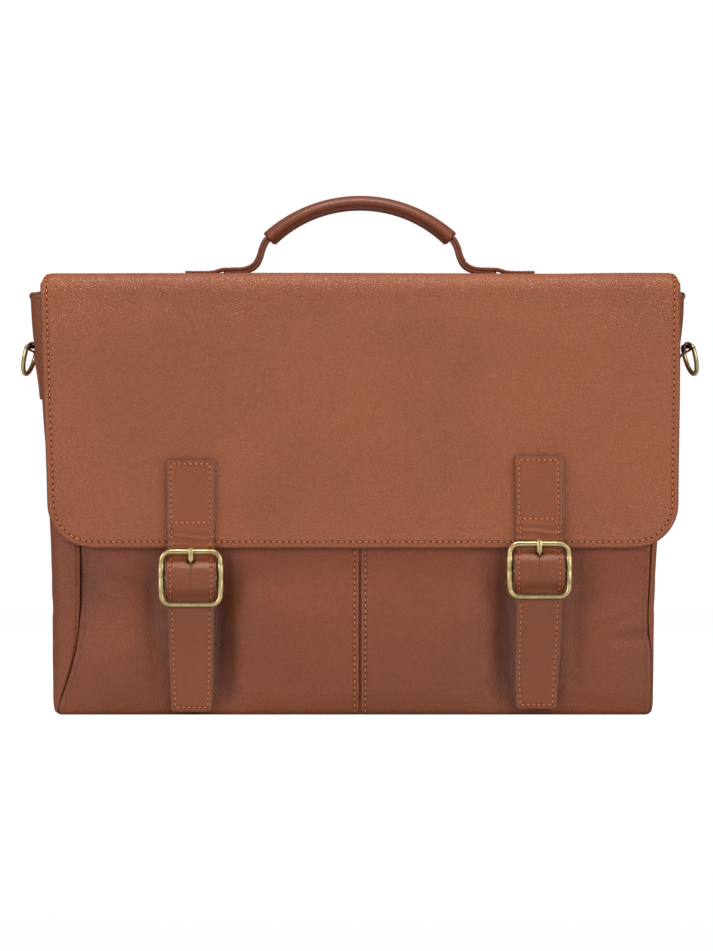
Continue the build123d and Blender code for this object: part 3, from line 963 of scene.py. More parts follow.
@dataclass
class Flap:
    """The full flap with the back panel that it grows out of. Sizes are in millimetres."""

    finishes: Finishes
    split: float = -1.6
    top: float = 280.0
    roll: float = 12.0
    front_roll: float = -36.2
    rear_roll: float = 33.0
    bottom: float = 105.7
    corner: float = 28.0
    thickness: float = 1.8
    lining: float = 0.9
    lining_drop: float = 6.0
    stitch_inset: float = 3.9
    sag: float = 7.4
    foot: float = 4.0
    left: Sequence[Flat] = ((105.0, -197.3), (150.0, -198.4), (210.0, -200.6), (275.0, -202.6))
    right: Sequence[Flat] = ((105.0, 201.4), (150.0, 201.8), (210.0, 202.6), (275.0, 203.0))
    back: Sequence[Flat] = ((0.0, 180.0), (250.0, 196.4), (276.0, 202.6))

    @property
    def flat(self) -> float:
        """The length of the level top in front of the seam."""
        return self.split - self.front_roll

    @property
    def rear_flat(self) -> float:
        """The length of the level top behind the seam."""
        return self.rear_roll - self.split

    @property
    def arc(self) -> float:
        """The length over a roll."""
        return self.roll * RIGHT_ANGLE

    @property
    def front_length(self) -> float:
        """From the top seam to the flap's lower edge."""
        return self.flat + self.arc + self.top - self.roll - self.bottom

    @property
    def rear_length(self) -> float:
        """From the top seam to the underside."""
        return self.rear_flat + self.arc + self.top - self.roll - self.foot + self.foot * RIGHT_ANGLE

    def profile(self, s: float, flat: float, sign: float) -> Flat:
        """The Y and Z of a length over the top, forwards (-1) or backwards (1)."""
        start = self.split + sign * flat
        if s < flat:
            return self.split + sign * s, self.top
        if s < flat + self.arc:
            angle = (s - flat) / self.roll
            return start + sign * self.roll * math.sin(angle), self.top - self.roll * (1 - math.cos(angle))
        return start + sign * self.roll, self.top - self.roll - (s - flat - self.arc)

    def ends(self, z: float) -> Flat:
        """The left and right edges of the hanging front at a height."""
        return keyed(self.left, z), keyed(self.right, z)

    def droop(self, x: float, z: float) -> float:
        """How far the ends of the top sag."""
        left, right = self.ends(z)
        reach = clamp(1 - min(x - left, right - x) / 7.5)
        return self.sag * (1 - math.sqrt(max(1 - reach * reach, 0.0)))

    def swell(self, x: float, z: float) -> float:
        """How far the hanging front stands out from flat."""
        soft = 0.9 + 0.9 * ripple(x, z, 85, 1.3) + 0.35 * ripple(x, z, 34, 4.2) + 0.14 * ripple(x, z, 12, 9.0)
        lip = 0.5 * hill(z, self.bottom, 12)
        return max(soft + lip, 0.0) * ease((self.top - self.roll - z) / 26)

    def front_place(self, x: float, s: float) -> Vector:
        """Lays a flat point of the front piece, in metres."""
        x, s = x / MM, s / MM
        y, z = self.profile(s, self.flat, -1)
        sag = self.droop(x, z) * (1 - ease((s - self.flat) / (self.arc * 1.05)))
        dent = 0.5 * ripple(x, y, 60, 7.7) * (1 - ease((s - self.flat - self.arc * 0.5) / 12))
        return mm(x, y - self.swell(x, z), z - sag + dent)

    def rear_place(self, x: float, s: float) -> Vector:
        """Lays a flat point of the rear piece, in metres."""
        x, s = x / MM, s / MM
        y, z = self.profile(s, self.rear_flat, 1)
        if z < self.foot:
            angle = (self.foot - z) / self.foot
            y, z = y - self.foot * (1 - math.cos(angle)), self.foot * (1 - math.sin(angle))
        else:
            edge = keyed(self.back, z) - abs(x)
            level = ease((self.top - self.roll - z) / 30) * ease((z - self.foot) / 20)
            y += (1.1 * ripple(x, z, 80, 21.0) + 0.3 * ripple(x, z, 30, 23.0)) * level
            y -= 1.3 * (1 - ease(edge / 4.0)) * level
        sag = self.droop(x, z) * (1 - ease((s - self.rear_flat) / (self.arc * 1.05)))
        dent = 0.5 * ripple(x, y, 60, 7.7) * (1 - ease((s - self.rear_flat - self.arc * 0.5) / 12))
        return mm(x, y, z - sag + dent)

    def front_shape(self, inset: float) -> Callable[[float, float], Flat]:
        """The front piece's cut, with all its free edges moved in by an inset."""
        def shape(across: float, along: float) -> Flat:
            """Straight sides and two round corners."""
            s = along * (self.front_length - inset)
            _, z = self.profile(s, self.flat, -1)
            left, right = self.ends(z)
            radius = self.corner - inset
            reach = radius - min(self.front_length - inset - s, radius)
            cut = inset + radius - math.sqrt(max(radius * radius - reach * reach, 0.0))
            return (left + cut + (right - left - 2 * cut) * across) * MM, s * MM
        return shape

    def front_rim(self, x: float, s: float) -> float:
        """The distance to the front piece's edge, in metres."""
        _, z = self.profile(s / MM, self.flat, -1)
        left, right = self.ends(z)
        side = min(x - left * MM, right * MM - x)
        up = self.front_length * MM - s
        radius = self.corner * MM
        if side < radius and up < radius:
            return radius - math.hypot(radius - side, radius - up)
        return min(side, up)

    def rear_shape(self, inset: float, end: float) -> Callable[[float, float], Flat]:
        """The rear piece's cut down to an end length."""
        def shape(across: float, along: float) -> Flat:
            """Between the two side seams."""
            s = along * end
            _, z = self.profile(s, self.rear_flat, 1)
            half = keyed(self.back, z) - inset
            return (2 * across - 1) * half * MM, s * MM
        return shape

    def rear_rim(self, x: float, s: float) -> float:
        """The distance to the rear piece's side edges, in metres."""
        _, z = self.profile(s / MM, self.rear_flat, 1)
        return keyed(self.back, z) * MM - abs(x)

    def edge_line(self, inset: float) -> list[Flat]:
        """The stitch line around the front piece's free edges."""
        shape = self.front_shape(inset)
        down = [shape(0.0, t) for t in spread(0.0, 1.0, 160)]
        up = [shape(1.0, t) for t in spread(1.0, 0.0, 160)]
        return down + up

    def build(self) -> None:
        """Builds the leather, the lining and the stitching of the flap and the back."""
        fold = ("flap_top", "flap_front", mm(0, -30, 281), mm(0, -48.2, 262.8))
        rear = ("case", "flap_top", mm(0, 45, 262.8), mm(0, 27, 281))
        up = Vector((0, 0, 1))
        front = Sheet("flap_front_hide", self.front_shape(0.0), self.front_place, up, self.thickness * MM,
                      176, 96, self.front_rim)
        settle(front.build(self.finishes.flap), bend=fold, nodes=["flap_front_leather"])
        back = Sheet("flap_and_back_hide", self.rear_shape(0.0, self.rear_length), self.rear_place,
                     Vector((0, 1, 0)), self.thickness * MM, 150, 130, self.rear_rim)
        settle(back.build(self.finishes.flap), bend=rear,
               nodes=["flap_top_leather", "back_panel"])
        sunk = (self.thickness + 0.05) * MM
        inner = Sheet("flap_front_inside", self.front_shape(1.2), self.front_place, up, self.lining * MM,
                      110, 60, sunk=sunk, edge_round=0.3 * MM)
        settle(inner.build(self.finishes.lining), bend=fold, nodes=["flap_front_lining"])
        end = self.rear_flat + self.arc + self.lining_drop
        inside = Sheet("flap_top_inside", self.rear_shape(1.6, end), self.rear_place, up, self.lining * MM,
                       110, 26, sunk=sunk, edge_round=0.3 * MM)
        settle(inside.build(self.finishes.lining), bend=rear, nodes=["flap_top_lining"])
        seam = Seam(front)
        line = self.edge_line(self.stitch_inset)
        across = [(x * MM, 2.6 * MM) for x in spread(-196.0, 196.0, 40)]
        stitches = thread("flap_front_stitches", [(seam, line), (seam, across)], self.finishes)
        settle(stitches, bend=fold)
        rows = [(Seam(back), across)]
        for side in (0.0, 1.0):
            shape = self.rear_shape(3.4, self.rear_length - 6.0)
            rows.append((Seam(back), [shape(side, t) for t in spread(0.0, 1.0, 120)]))
        settle(thread("back_stitches", rows, self.finishes), bend=rear)


# ------------------------------------------------------------------ the bag


@dataclass
class Bag:
    """The soft body: pockets, gussets, base, walls, lining and divider. Sizes are in millimetres."""

    finishes: Finishes
    straps: Sequence[float] = (-107.0, 113.5)
    half_depth: float = 45.0
    height: float = 266.0
    pocket_height: float = 205.0
    foot: float = 4.0
    thickness: float = 1.8
    strip: float = 12.0
    bend: float = 16.0
    wrap: float = 120.0
    left_seam: Sequence[Flat] = ((0.0, 191.8), (9.5, 189.8), (18.0, 186.8), (28.5, 183.4), (42.0, 180.2),
                                 (60.0, 178.0), (75.0, 177.4), (110.0, 177.4), (266.0, 196.5))
    right_seam: Sequence[Flat] = ((0.0, 183.7), (30.0, 184.6), (42.0, 184.2), (52.0, 182.9), (62.0, 182.4),
                                  (80.0, 183.5), (110.0, 185.0), (266.0, 199.5))
    left_out: Sequence[Flat] = ((0.0, 193.2), (10.0, 194.6), (70.0, 195.8), (110.0, 196.8), (200.0, 202.2),
                                (250.0, 208.6), (266.0, 209.2))
    right_out: Sequence[Flat] = ((0.0, 184.9), (10.0, 185.8), (70.0, 186.8), (110.0, 188.6), (200.0, 197.8),
                                 (250.0, 205.0), (266.0, 205.6))
    valleys: Sequence[tuple[float, float, float]] = ((-89.0, 6.6, 10.0), (93.0, 5.8, 9.5), (-131.0, 3.0, 9.0),
                                                     (138.0, 2.4, 8.0))
    creases: Sequence[tuple[float, float, float, float]] = (
        (176.0, 50.0, 0.22, 2.0), (160.0, 58.0, 0.45, 1.1), (152.0, 80.0, 0.4, 1.0), (150.0, 30.0, 1.1, 0.9),
        (-166.0, 78.0, -0.8, 1.1), (-150.0, 90.0, -0.4, 0.9), (66.0, 84.0, 0.9, 0.8), (-58.0, 88.0, -0.8, 0.8))

    def seam(self, side: Side, z: float) -> float:
        """How far out the front seam of a gusset lies."""
        return keyed(self.left_seam if side is Side.LEFT else self.right_seam, z)

    def out(self, side: Side, z: float) -> float:
        """How far out the side of the bag lies."""
        return keyed(self.left_out if side is Side.LEFT else self.right_out, z)

    def nip(self, side: Side, z: float) -> float:
        """How deep the front seam of a gusset pulls in; on the right it runs out near the foot."""
        return 1.4 * ease((z - self.foot) / 10) if side is Side.LEFT else 1.1 * ease((z - 34) / 14)

    def swell(self, x: float, z: float) -> float:
        """How far the pocket front stands out from flat: its cushions, valleys and creases."""
        low = 1 - ease((z - 60) / 50)
        rise = ease(z / 14)
        between = ease((x + 83) / 24) * ease((86 - x) / 24)
        value = 5.4 * between * hill(z, 44, 50) * low + 1.4 * between * hill(z, 84, 24)
        value += 5.2 * hill(x, -152, 23) * hill(z, 30, 27) * low
        value += 4.6 * hill(x, 160, 22) * hill(z, 40, 34) * low
        for at, deep, reach in self.valleys:
            value -= deep * hill(x, at, reach) * hill(z, 56, 50) * (0.55 + 0.45 * low)
        value -= 2.6 * hill(x, -174, 11) * hill(z, 84, 26)
        for at in self.straps:
            near = hill(x, at, 26) * (0.3 + 0.7 * low)
            value += 0.30 * near * math.sin(z / 2.1 + 0.05 * x + 2 * ripple(x, z, 22, 5.0))
        for cx, cz, lean, deep in self.creases:
            along = (x - cx) * math.cos(lean) + (z - cz) * math.sin(lean)
            across = -(x - cx) * math.sin(lean) + (z - cz) * math.cos(lean)
            value -= deep * hill(across, 0, 3.4) * hill(along, 0, 17)
        value += (0.8 * ripple(x, z, 46, 11.0) + 0.4 * ripple(x, z, 17, 13.0)) * (0.35 + 0.65 * low)
        value -= 0.8 * (1 - ease(abs(x) / 2.2))
        calm = ease((z - 96) / 10)
        value = value * (1 - calm) + min(value, 0.0) * calm
        return value * rise

    def front_place(self, x: float, s: float) -> Vector:
        """Lays a flat point of a pocket panel, in metres, measured down from its top."""
        x, z = x / MM, self.pocket_height - s / MM
        side = Side.LEFT if x < 0 else Side.RIGHT
        dip = self.nip(side, z) * (1 - ease((self.seam(side, z) - abs(x)) / 3.4))
        if z < self.foot:
            angle = (self.foot - z) / self.foot
            inset = self.foot * (1 - math.cos(angle))
            pull = inset * ease((abs(x) - self.seam(side, 0.0) + 12) / 12)
            return mm(x - side.value * pull, inset - self.half_depth, self.foot * (1 - math.sin(angle)))
        return mm(x, -self.half_depth - self.swell(x, z) + dip, z)

    def plan(self, side: Side, a: float, z: float, inset: float) -> Flat:
        """The X and Y of a length around a gusset, from its front seam to its back seam."""
        seam, out = self.seam(side, z), self.out(side, z) - inset
        seam = min(seam, out - 1.2)
        deep = self.half_depth - inset
        near = clamp(0.8 * (out - seam), 0.5, 12.0)
        far = 10.0 - inset
        back = min(180.0 + 16.4 * z / self.height, out - far - 0.5)
        first, last = self.strip + self.bend, self.wrap - self.strip - self.bend
        if a < self.strip:
            return seam + (out - near - seam) * a / self.strip, -deep
        if a < first:
            angle = (a - self.strip) / self.bend * RIGHT_ANGLE
            return out - near * (1 - math.sin(angle)), -deep + near * (1 - math.cos(angle))
        if a < last:
            return out, -deep + near + (2 * deep - near - far) * (a - first) / (last - first)
        if a < last + self.bend:
            angle = (a - last) / self.bend * RIGHT_ANGLE
            return out - far * (1 - math.cos(angle)), deep - far * (1 - math.sin(angle))
        a -= last + self.bend
        return out - far + (back - out + far) * a / self.strip, deep - 0.8 * ease(a / 8)

    def hollow(self, side: Side, y: float, z: float) -> float:
        """How far a gusset caves in."""
        value = 5.0 * hill(y, 2, 17) * ease((z - 20) / 160)
        for deep, level, lean, wide, at, reach in (
                (0.9, 72, 0.05, 3.5, -26, 24), (0.8, 63, -0.08, 2.6, -30, 26),
                (0.9, 92, 0.10, 3.8, -10, 30), (0.5, 40, -0.10, 4.0, 10, 26)):
            value += deep * hill(z, level + lean * y, wide) * hill(y, at, reach)
        value += 0.8 * ripple(y, z, 26, 31.0 + side.value) + 0.5
        return max(value, 0.0) * ease((z - 4) / 20) * (1 - 0.7 * ease((z - 236) / 26))

    def gusset_place(self, side: Side) -> Place:
        """The laying of a gusset: lengths around and down from its top, in metres."""
        def place(a: float, s: float) -> Vector:
            """One point of the gusset."""
            a, z = a / MM, self.height - s / MM
            inset, level = 0.0, z
            if z < self.foot:
                angle = (self.foot - z) / self.foot
                inset, level = self.foot * (1 - math.cos(angle)), self.foot * (1 - math.sin(angle))
            x, y = self.plan(side, a, max(z, 0.0), inset)
            dip = self.nip(side, z) * (1 - ease(a / 6))
            fade = ease((a - 20) / 14) * ease((106 - a) / 14)
            x -= self.hollow(side, y, level) * fade
            return mm(side.value * x, y + dip, level)
        return place

    def build(self) -> None:
        """Builds every piece that rides on the case."""
        self.build_pockets()
        for side in Side:
            self.build_gusset(side)
        self.build_base()
        self.build_boards()
        self.build_inside()

    def build_pockets(self) -> None:
        """Builds the two pocket fronts, their bindings and the strip between them."""
        length = self.pocket_height - self.foot + self.foot * RIGHT_ANGLE
        for side in Side:
            def shape(across: float, along: float, side: Side = side) -> Flat:
                """From the middle seam to the gusset seam."""
                z = self.pocket_height - along * length
                return side.value * (0.05 + (self.seam(side, z) - 0.05) * across) * MM, along * length * MM

            def rim(x: float, s: float, side: Side = side) -> float:
                """The distance to the panel's nearest seam."""
                return min(abs(x), self.seam(side, self.pocket_height - s / MM) * MM - abs(x)) + 0.3 * MM

            def shade(x: float, s: float) -> float:
                """How much painted shade darkens the hide in the valleys."""
                return clamp(-self.swell(x / MM, self.pocket_height - s / MM) / 6.0)

            sheet = Sheet(side.word + "_pocket_front", shape, self.front_place, Vector((0, -1, 0)),
                          self.thickness * MM, 120, 128, rim, shade=shade)
            settle(sheet.build(self.finishes.body), "case", nodes=[side.word + "_pocket_panel"])
            seam = Seam(sheet, pitch=3.7 * MM)
            line = [(side.value * 3.4 * MM, s * MM) for s in spread(4.0, length - 3.0, 60)]
            settle(thread(side.word + "_pocket_stitches", [(seam, line)], self.finishes), "case")
            reach = self.seam(side, self.pocket_height) - 2.0
            hem = [self.front_place(side.value * (1.0 + reach * t) * MM, 0.0) + mm(0, 0.9, 0.2)
                   for t in spread(0.0, 1.0, 40)]
            piece = strand(side.word + "_pocket_hem", hem, (1.5 * MM, 1.9 * MM), Vector((0, 1, 0)),
                           self.finishes.strap)
            settle(piece, "case", nodes=[side.word + "_pocket_binding"])
        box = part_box("pocket_seam_strip")
        middle, size = (box[0] + box[1]) / 2, box[1] - box[0]
        strip = Sheet("pocket_divider_strip", lambda u, v: ((u - 0.5) * (size.y - 0.4 * MM), (v - 0.5) * size.z),
                      lambda y, z: Vector((middle.x - size.x / 2 + 0.3 * MM * ripple(y / MM, z / MM, 30, 3.0),
                                           middle.y + y, middle.z + z)),
                      Vector((-1, 0, 0)), size.x * 0.9, 6, 60)
        settle(strip.build(self.finishes.body), "case", nodes=["pocket_seam_strip"])

    def build_gusset(self, side: Side) -> None:
        """Builds one gusset with its stitches and its top hem."""
        length = self.height - self.foot + self.foot * RIGHT_ANGLE
        place = self.gusset_place(side)
        sheet = Sheet(side.word + "_side", lambda u, v: (self.wrap * u * MM, v * length * MM), place,
                      Vector((side.value, 0, 0)), self.thickness * MM, 64, 120,
                      lambda a, s: min(a, self.wrap * MM - a) + 0.3 * MM)
        settle(sheet.build(self.finishes.body), "case", nodes=[side.word + "_gusset"])
        hem = [place(a * MM, 0.0) + mm(-side.value * 0.9, 0, -0.6) for a in spread(9.0, 111.0, 48)]
        piece = strand(side.word + "_side_hem", hem, (2.4 * MM, 1.7 * MM), Vector((0, 0, 1)), self.finishes.strap)
        settle(piece, "case", nodes=[side.word + "_gusset_binding"])

    def build_base(self) -> None:
        """Builds the underside."""
        def shape(across: float, along: float) -> Flat:
            """The base, a little wider to the left."""
            reach = self.half_depth - self.foot + 1.2
            left, right = self.out(Side.LEFT, 0) - 2.6, self.out(Side.RIGHT, 0) - 2.6
            return (-left + (left + right) * across) * MM, (-reach + 2 * reach * along) * MM

        def place(x: float, y: float) -> Vector:
            """The sagging underside."""
            middle = hill(y / MM, 0, 30) * 0.5 * (1 + ripple(x / MM, y / MM, 60, 41.0))
            return Vector((x, y, (0.25 + middle) * MM))

        sheet = Sheet("underside", shape, place, Vector((0, 0, -1)), 1.5 * MM, 100, 30)
        settle(sheet.build(self.finishes.body), "case", nodes=["base_panel"])

    def build_boards(self) -> None:
        """Builds the stiff boards over the base and inside the back."""
        low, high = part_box("base_board")
        reach = [side.value * (self.out(side, 0) - 6.0) * MM for side in Side]
        base = Sheet("base_stiffener",
                     lambda u, v: (reach[0] + (reach[1] - reach[0]) * u, low.y + (high.y - low.y) * v),
                     lambda x, y: Vector((x, y, low.z)), Vector((0, 0, -1)), high.z - low.z, 40, 12)
        settle(base.build(self.finishes.board), "case", nodes=["base_board"])
        under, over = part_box("back_board")

        def upright(across: float, along: float) -> Flat:
            """The back board's outline, following the back seams."""
            z = under.z + (over.z - under.z) * along
            return (2 * across - 1) * keyed(((0.0, 174.0), (self.height, 190.0)), z / MM) * MM, z

        back = Sheet("back_stiffener", upright, lambda x, z: Vector((x, over.y, z)), Vector((0, 1, 0)),
                     over.y - under.y, 40, 30)
        settle(back.build(self.finishes.board), "case", nodes=["back_board"])

    def inner_half(self, side: Side, z: float) -> float:
        """How far out the inside of the bag reaches."""
        return self.out(side, z) - 6.2

    def build_inside(self) -> None:
        """Builds the front wall, its hem, the lining and the padded divider."""
        top, low, depth, inset = self.height - 0.5, 3.0, -36.0, 2.6

        def shape(across: float, along: float) -> Flat:
            """Between the two gussets."""
            z = top - along * (top - low)
            left, right = self.out(Side.LEFT, z) - inset, self.out(Side.RIGHT, z) - inset
            return (-left + (left + right) * across) * MM, z * MM

        def place(x: float, z: float) -> Vector:
            """The front wall, which bows a little."""
            soft = 0.5 * ripple(x / MM, z / MM, 60, 15.0)
            return Vector((x, (depth + soft) * MM, z))

        sheet = Sheet("inner_front_wall", shape, place, Vector((0, -1, 0)), 1.6 * MM, 90, 70,
                      lambda x, z: min(top * MM - z, 0.1) + 0.3 * MM)
        settle(sheet.build(self.finishes.body), "case", nodes=["front_wall"])
        hem = [place(x * MM, top * MM) + mm(0, 0.9, 0.6)
               for x in spread(-self.out(Side.LEFT, top) + 4, self.out(Side.RIGHT, top) - 4, 90)]
        piece = strand("front_wall_hem", hem, (1.6 * MM, 2.2 * MM), Vector((0, 1, 0)), self.finishes.strap)
        settle(piece, "case", nodes=["front_wall_binding"])
        self.build_lining(top)
        self.build_divider()

    def build_lining(self, top: float) -> None:
        """Builds the cloth bag: one length over front, floor and back, and two ends."""
        front, back, floor, turn = -34.1, 41.0, 3.8, 6.0
        rise = top - 1.5 - floor - turn
        level = back - front - 2 * turn
        arc = turn * RIGHT_ANGLE
        total = 2 * rise + 2 * arc + level

        def profile(s: float) -> Flat:
            """The Y and Z of a length down the front, along the floor and up the back."""
            if s < rise:
                return front, floor + turn + rise - s
            if s < rise + arc:
                angle = (s - rise) / turn
                return front + turn * (1 - math.cos(angle)), floor + turn * (1 - math.sin(angle))
            if s < rise + arc + level:
                return front + turn + s - rise - arc, floor
            if s < rise + 2 * arc + level:
                angle = (s - rise - arc - level) / turn
                return back - turn * (1 - math.sin(angle)), floor + turn * (1 - math.cos(angle))
            return back, floor + turn + s - rise - 2 * arc - level

        def shape(across: float, along: float) -> Flat:
            """Between the two ends of the bag."""
            z = profile(along * total)[1]
            left, right = self.inner_half(Side.LEFT, z), self.inner_half(Side.RIGHT, z)
            return (-left + (left + right) * across) * MM, along * total * MM

        def place(x: float, s: float) -> Vector:
            """The cloth, hanging a little slack."""
            y, z = profile(s / MM)
            slack = 0.5 + 0.5 * ripple(x / MM, z, 38, 61.0)
            inward = 1 if y < 3.5 else -1
            return Vector((x, (y + inward * slack) * MM, z * MM))

        sheet = Sheet("bag_lining", shape, place, Vector((0, 0, 1)), 0.8 * MM, 90, 110, edge_round=0.2 * MM)
        settle(sheet.build(self.finishes.lining), "case", nodes=["lining"])
        for side in Side:
            def end_place(y: float, z: float, side: Side = side) -> Vector:
                """An end of the lining, following the gusset."""
                hollow = self.hollow(side, y / MM, z / MM)
                x = self.out(side, z / MM) - 5.0 - hollow
                return Vector((side.value * x * MM, y, z))

            end = Sheet(side.word + "_lining_end",
                        lambda u, v: ((front + (back - front) * u) * MM,
                                      (floor + 1 + (top - floor - 4) * v) * MM),
                        end_place, Vector((-side.value, 0, 0)), 0.8 * MM, 30, 70, edge_round=0.2 * MM)
            settle(end.build(self.finishes.lining), "case")

    def build_divider(self) -> None:
        """Builds the padded laptop divider with quilted channels."""
        low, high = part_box("laptop_divider")
        middle, size = (low + high) / 2, high - low

        def place(x: float, z: float) -> Vector:
            """The face of a quilted pad."""
            channel = abs(math.sin(math.pi * x / (size.x / 8)))
            sunk = 0.9 * MM * (1 - channel ** 0.5)
            return Vector((middle.x + x, low.y + 0.3 * MM + sunk, middle.z + z))

        def shape(across: float, along: float) -> Flat:
            """A pad that narrows downwards as the bag does."""
            z = (0.5 - along) * (size.z - 2 * MM)
            level = (middle.z + z) / MM
            left, right = (self.out(end, level) - 9.5 for end in Side)
            return (-left + (left + right) * across) * MM, z

        sheet = Sheet("padded_divider", shape, place, Vector((0, -1, 0)), size.y - 1.6 * MM, 128, 60,
                      edge_round=2.0 * MM)
        piece = settle(sheet.build(self.finishes.pad), "case", nodes=["laptop_divider"])


# ------------------------------------------------------------------ straps and buckles


@dataclass
class StrapSet:
    """One closing strap with its buckle and hidden snap. Sizes are in millimetres.

    x is the strap's place from side to side. anchor, buckle and tail are the heights of the sewn end's
    foot, the buckle's middle and the tail's end. lean is how far the tail drifts sideways.
    """

    finishes: Finishes
    flap: Flap
    side: Side
    x: float
    anchor: float
    buckle: float
    tail: float
    lean: float
    sewn_length: float = 41.4
    thickness: float = 2.1
    half_width: float = 20.5
    half_height: float = 18.4
    wire: float = 1.65
    bar_y: float = -53.3
    rail_y: float = -54.1

    @property
    def top(self) -> float:
        """The height of the sewn end."""
        return self.anchor + self.sewn_length

    @property
    def word(self) -> str:
        """left or right."""
        return self.side.word

    def half(self, z: float) -> float:
        """Half the strap's width at a height."""
        keys = ((self.tail, 12.9), (self.tail + 26, 14.0), (self.buckle - 20, 14.7), (self.buckle - 9, 15.9),
                (self.buckle + 6, 16.0), (self.buckle + 15, 15.2), (self.anchor, 15.0), (self.top, 15.4))
        wave = 0.22 * ripple(z, self.x, 9, 71.0) * ease((self.buckle - 18 - z) / 8)
        return keyed(keys, z) + wave

    def face(self, x: float, z: float) -> float:
        """How far forward the strap's face lies."""
        at_flap = 50.6 + self.flap.swell(self.x, z)
        keys = ((self.tail, 53.0), (self.tail + 14, 52.3), (self.buckle - 21, 52.1), (self.buckle - 13.6, 52.2),
                (self.buckle - 4.5, 58.0), (self.buckle + 5, 57.9), (self.buckle + 14.0, 52.2),
                (self.buckle + 19, 52.1), (self.anchor - 2, at_flap))
        value = at_flap if z > self.anchor - 2 else keyed(keys, z)
        crown = 0.5 * (1 - (x / 15.5) ** 2)
        value += crown * (0.4 + 1.6 * hill(z, self.buckle, 9))
        crease = hill(z, self.anchor - 8.0, 8.0)
        value += 0.62 * crease * math.sin(z * 1.25 + 0.9 * math.sin(x / 5.0) + self.side.value)
        value += 0.16 * ripple(x, z, 8, 73.0) * ease((self.anchor - z) / 10)
        value -= 0.9 * hill(x, 0, 3.4) * hill(z, self.buckle + 11.5, 4.0)
        return value

    def sheet(self) -> Sheet:
        """The strap from its sewn end to its tail, with the hole and slit for the tongue, and painted shade below
        the buckle.
        """
        stops = [-15.0, -14.3, -13.3, -12.2, -11.0, -9.5, -8.0, -6.4, -5.0, -3.6, -2.3, -0.13]
        stops = stops + [-stop for stop in reversed(stops)]
        length = self.top - self.tail

        def shape(across: float, along: float) -> Flat:
            """A strip whose ends have small round corners."""
            z = self.top - along * length
            place = across * (len(stops) - 1)
            index = min(int(place + 1e-6), len(stops) - 2)
            x = stops[index] + (stops[index + 1] - stops[index]) * (place - index)
            wide = abs(x) / 15.0
            reach = min(z - self.tail, self.top - z)
            corner = 3.2 if z < self.anchor else 1.6
            cut = corner - math.sqrt(max(corner ** 2 - max(corner - reach, 0.0) ** 2, 0.0))
            scale = 1 + (self.half(z) - cut - 15.0) / 15.0 * wide ** 2
            return x * scale * MM, (self.top - z) * MM

        def place(x: float, s: float) -> Vector:
            """One point on the strap's face."""
            x, z = x / MM, self.top - s / MM
            drift = self.lean * ease((self.buckle - 18 - z) / 64)
            return mm(self.x + x + drift, -self.face(x, z), z)

        def rim(x: float, s: float) -> float:
            """The distance to the strap's edge."""
            z = self.top - s / MM
            return min(self.half(z) * MM - abs(x), s, (z - self.tail) * MM)

        def keep(x: float, s: float) -> bool:
            """Everything but the tongue's hole and slit."""
            x, z = abs(x / MM), self.top - s / MM
            slit = x < 0.6 and self.buckle - 1.5 < z < self.buckle + 9.6
            hole = x < 2.2 and self.buckle + 9.6 <= z < self.buckle + 15.6
            return not (slit or hole)

        rows = round(length / 0.95)
        # shade paints shade on the strap from just above the buckle down to its tail, so that the sewn end reads
        # lighter, as if lit from above.
        return Sheet(self.word + "_closing_strap", shape, place, Vector((0, -1, 0)), self.thickness * MM,
                     len(stops) - 1, rows, rim, keep, edge_round=0.5 * MM,
                     shade=lambda x, s: 0.4 * ease((self.buckle + 14 - self.top + s / MM) / 12))

    def stitch_rows(self, sheet: Sheet) -> list[tuple[Seam, list[Flat]]]:
        """The box of stitches on the sewn end, and the two long rows with the row across the tail."""
        seam = Seam(sheet, pitch=3.5 * MM, wide=0.40 * MM, proud=0.26 * MM, hole=0.42 * MM)

        def at(x: float, z: float) -> Flat:
            """A flat point from its place beside the middle and its height."""
            return x * MM, (self.top - z) * MM

        high, low = self.top - 2.8, self.anchor + 1.4
        box = [at(-12.6, high), at(12.0, high), at(12.0, low), at(-12.6, low), at(-12.6, high)]
        rows = [(seam, box)]
        end = self.tail + 2.8
        for sign in (-1, 1):
            for inset, start, stop, count in ((3.0, low - 4, self.buckle + 19.5, 8),
                                              (3.0, self.buckle + 13.5, self.buckle - 13.5, 20),
                                              (2.9, self.buckle - 20.5, end, 40)):
                rows.append((seam, [at(sign * (self.half(z) - inset), z) for z in spread(start, stop, count)]))
        rows.append((seam, [at(-self.half(end) + 2.9, end), at(self.half(end) - 2.9, end)]))
        return rows

    def build(self) -> None:
        """Builds the strap, its stitching, the buckle, the tongue, the chape and the snap."""
        body = self.word + "_strap"
        hinge = ("flap_front", body, mm(self.x, -50, self.anchor + 1.5), mm(self.x, -50, self.anchor - 6.0))
        sheet = self.sheet()
        piece = sheet.build(self.finishes.strap)
        settle(piece, bend=hinge, nodes=[body + "_anchor", body])
        settle(thread(self.word + "_strap_stitches", self.stitch_rows(sheet), self.finishes), bend=hinge)
        under = Sheet(self.word + "_anchor_layer",
                      lambda u, v: ((-14.6 + 30.8 * u) * MM, (self.anchor + 1 + 38.6 * v) * MM),
                      lambda x, z: mm(self.x + x / MM, -48.9 - self.flap.swell(self.x, z / MM), z / MM),
                      Vector((0, -1, 0)), 1.4 * MM, 12, 16)
        settle(under.build(self.finishes.strap), "flap_front")
        self.build_buckle(body)
        self.build_tongue()
        self.build_chape(body)

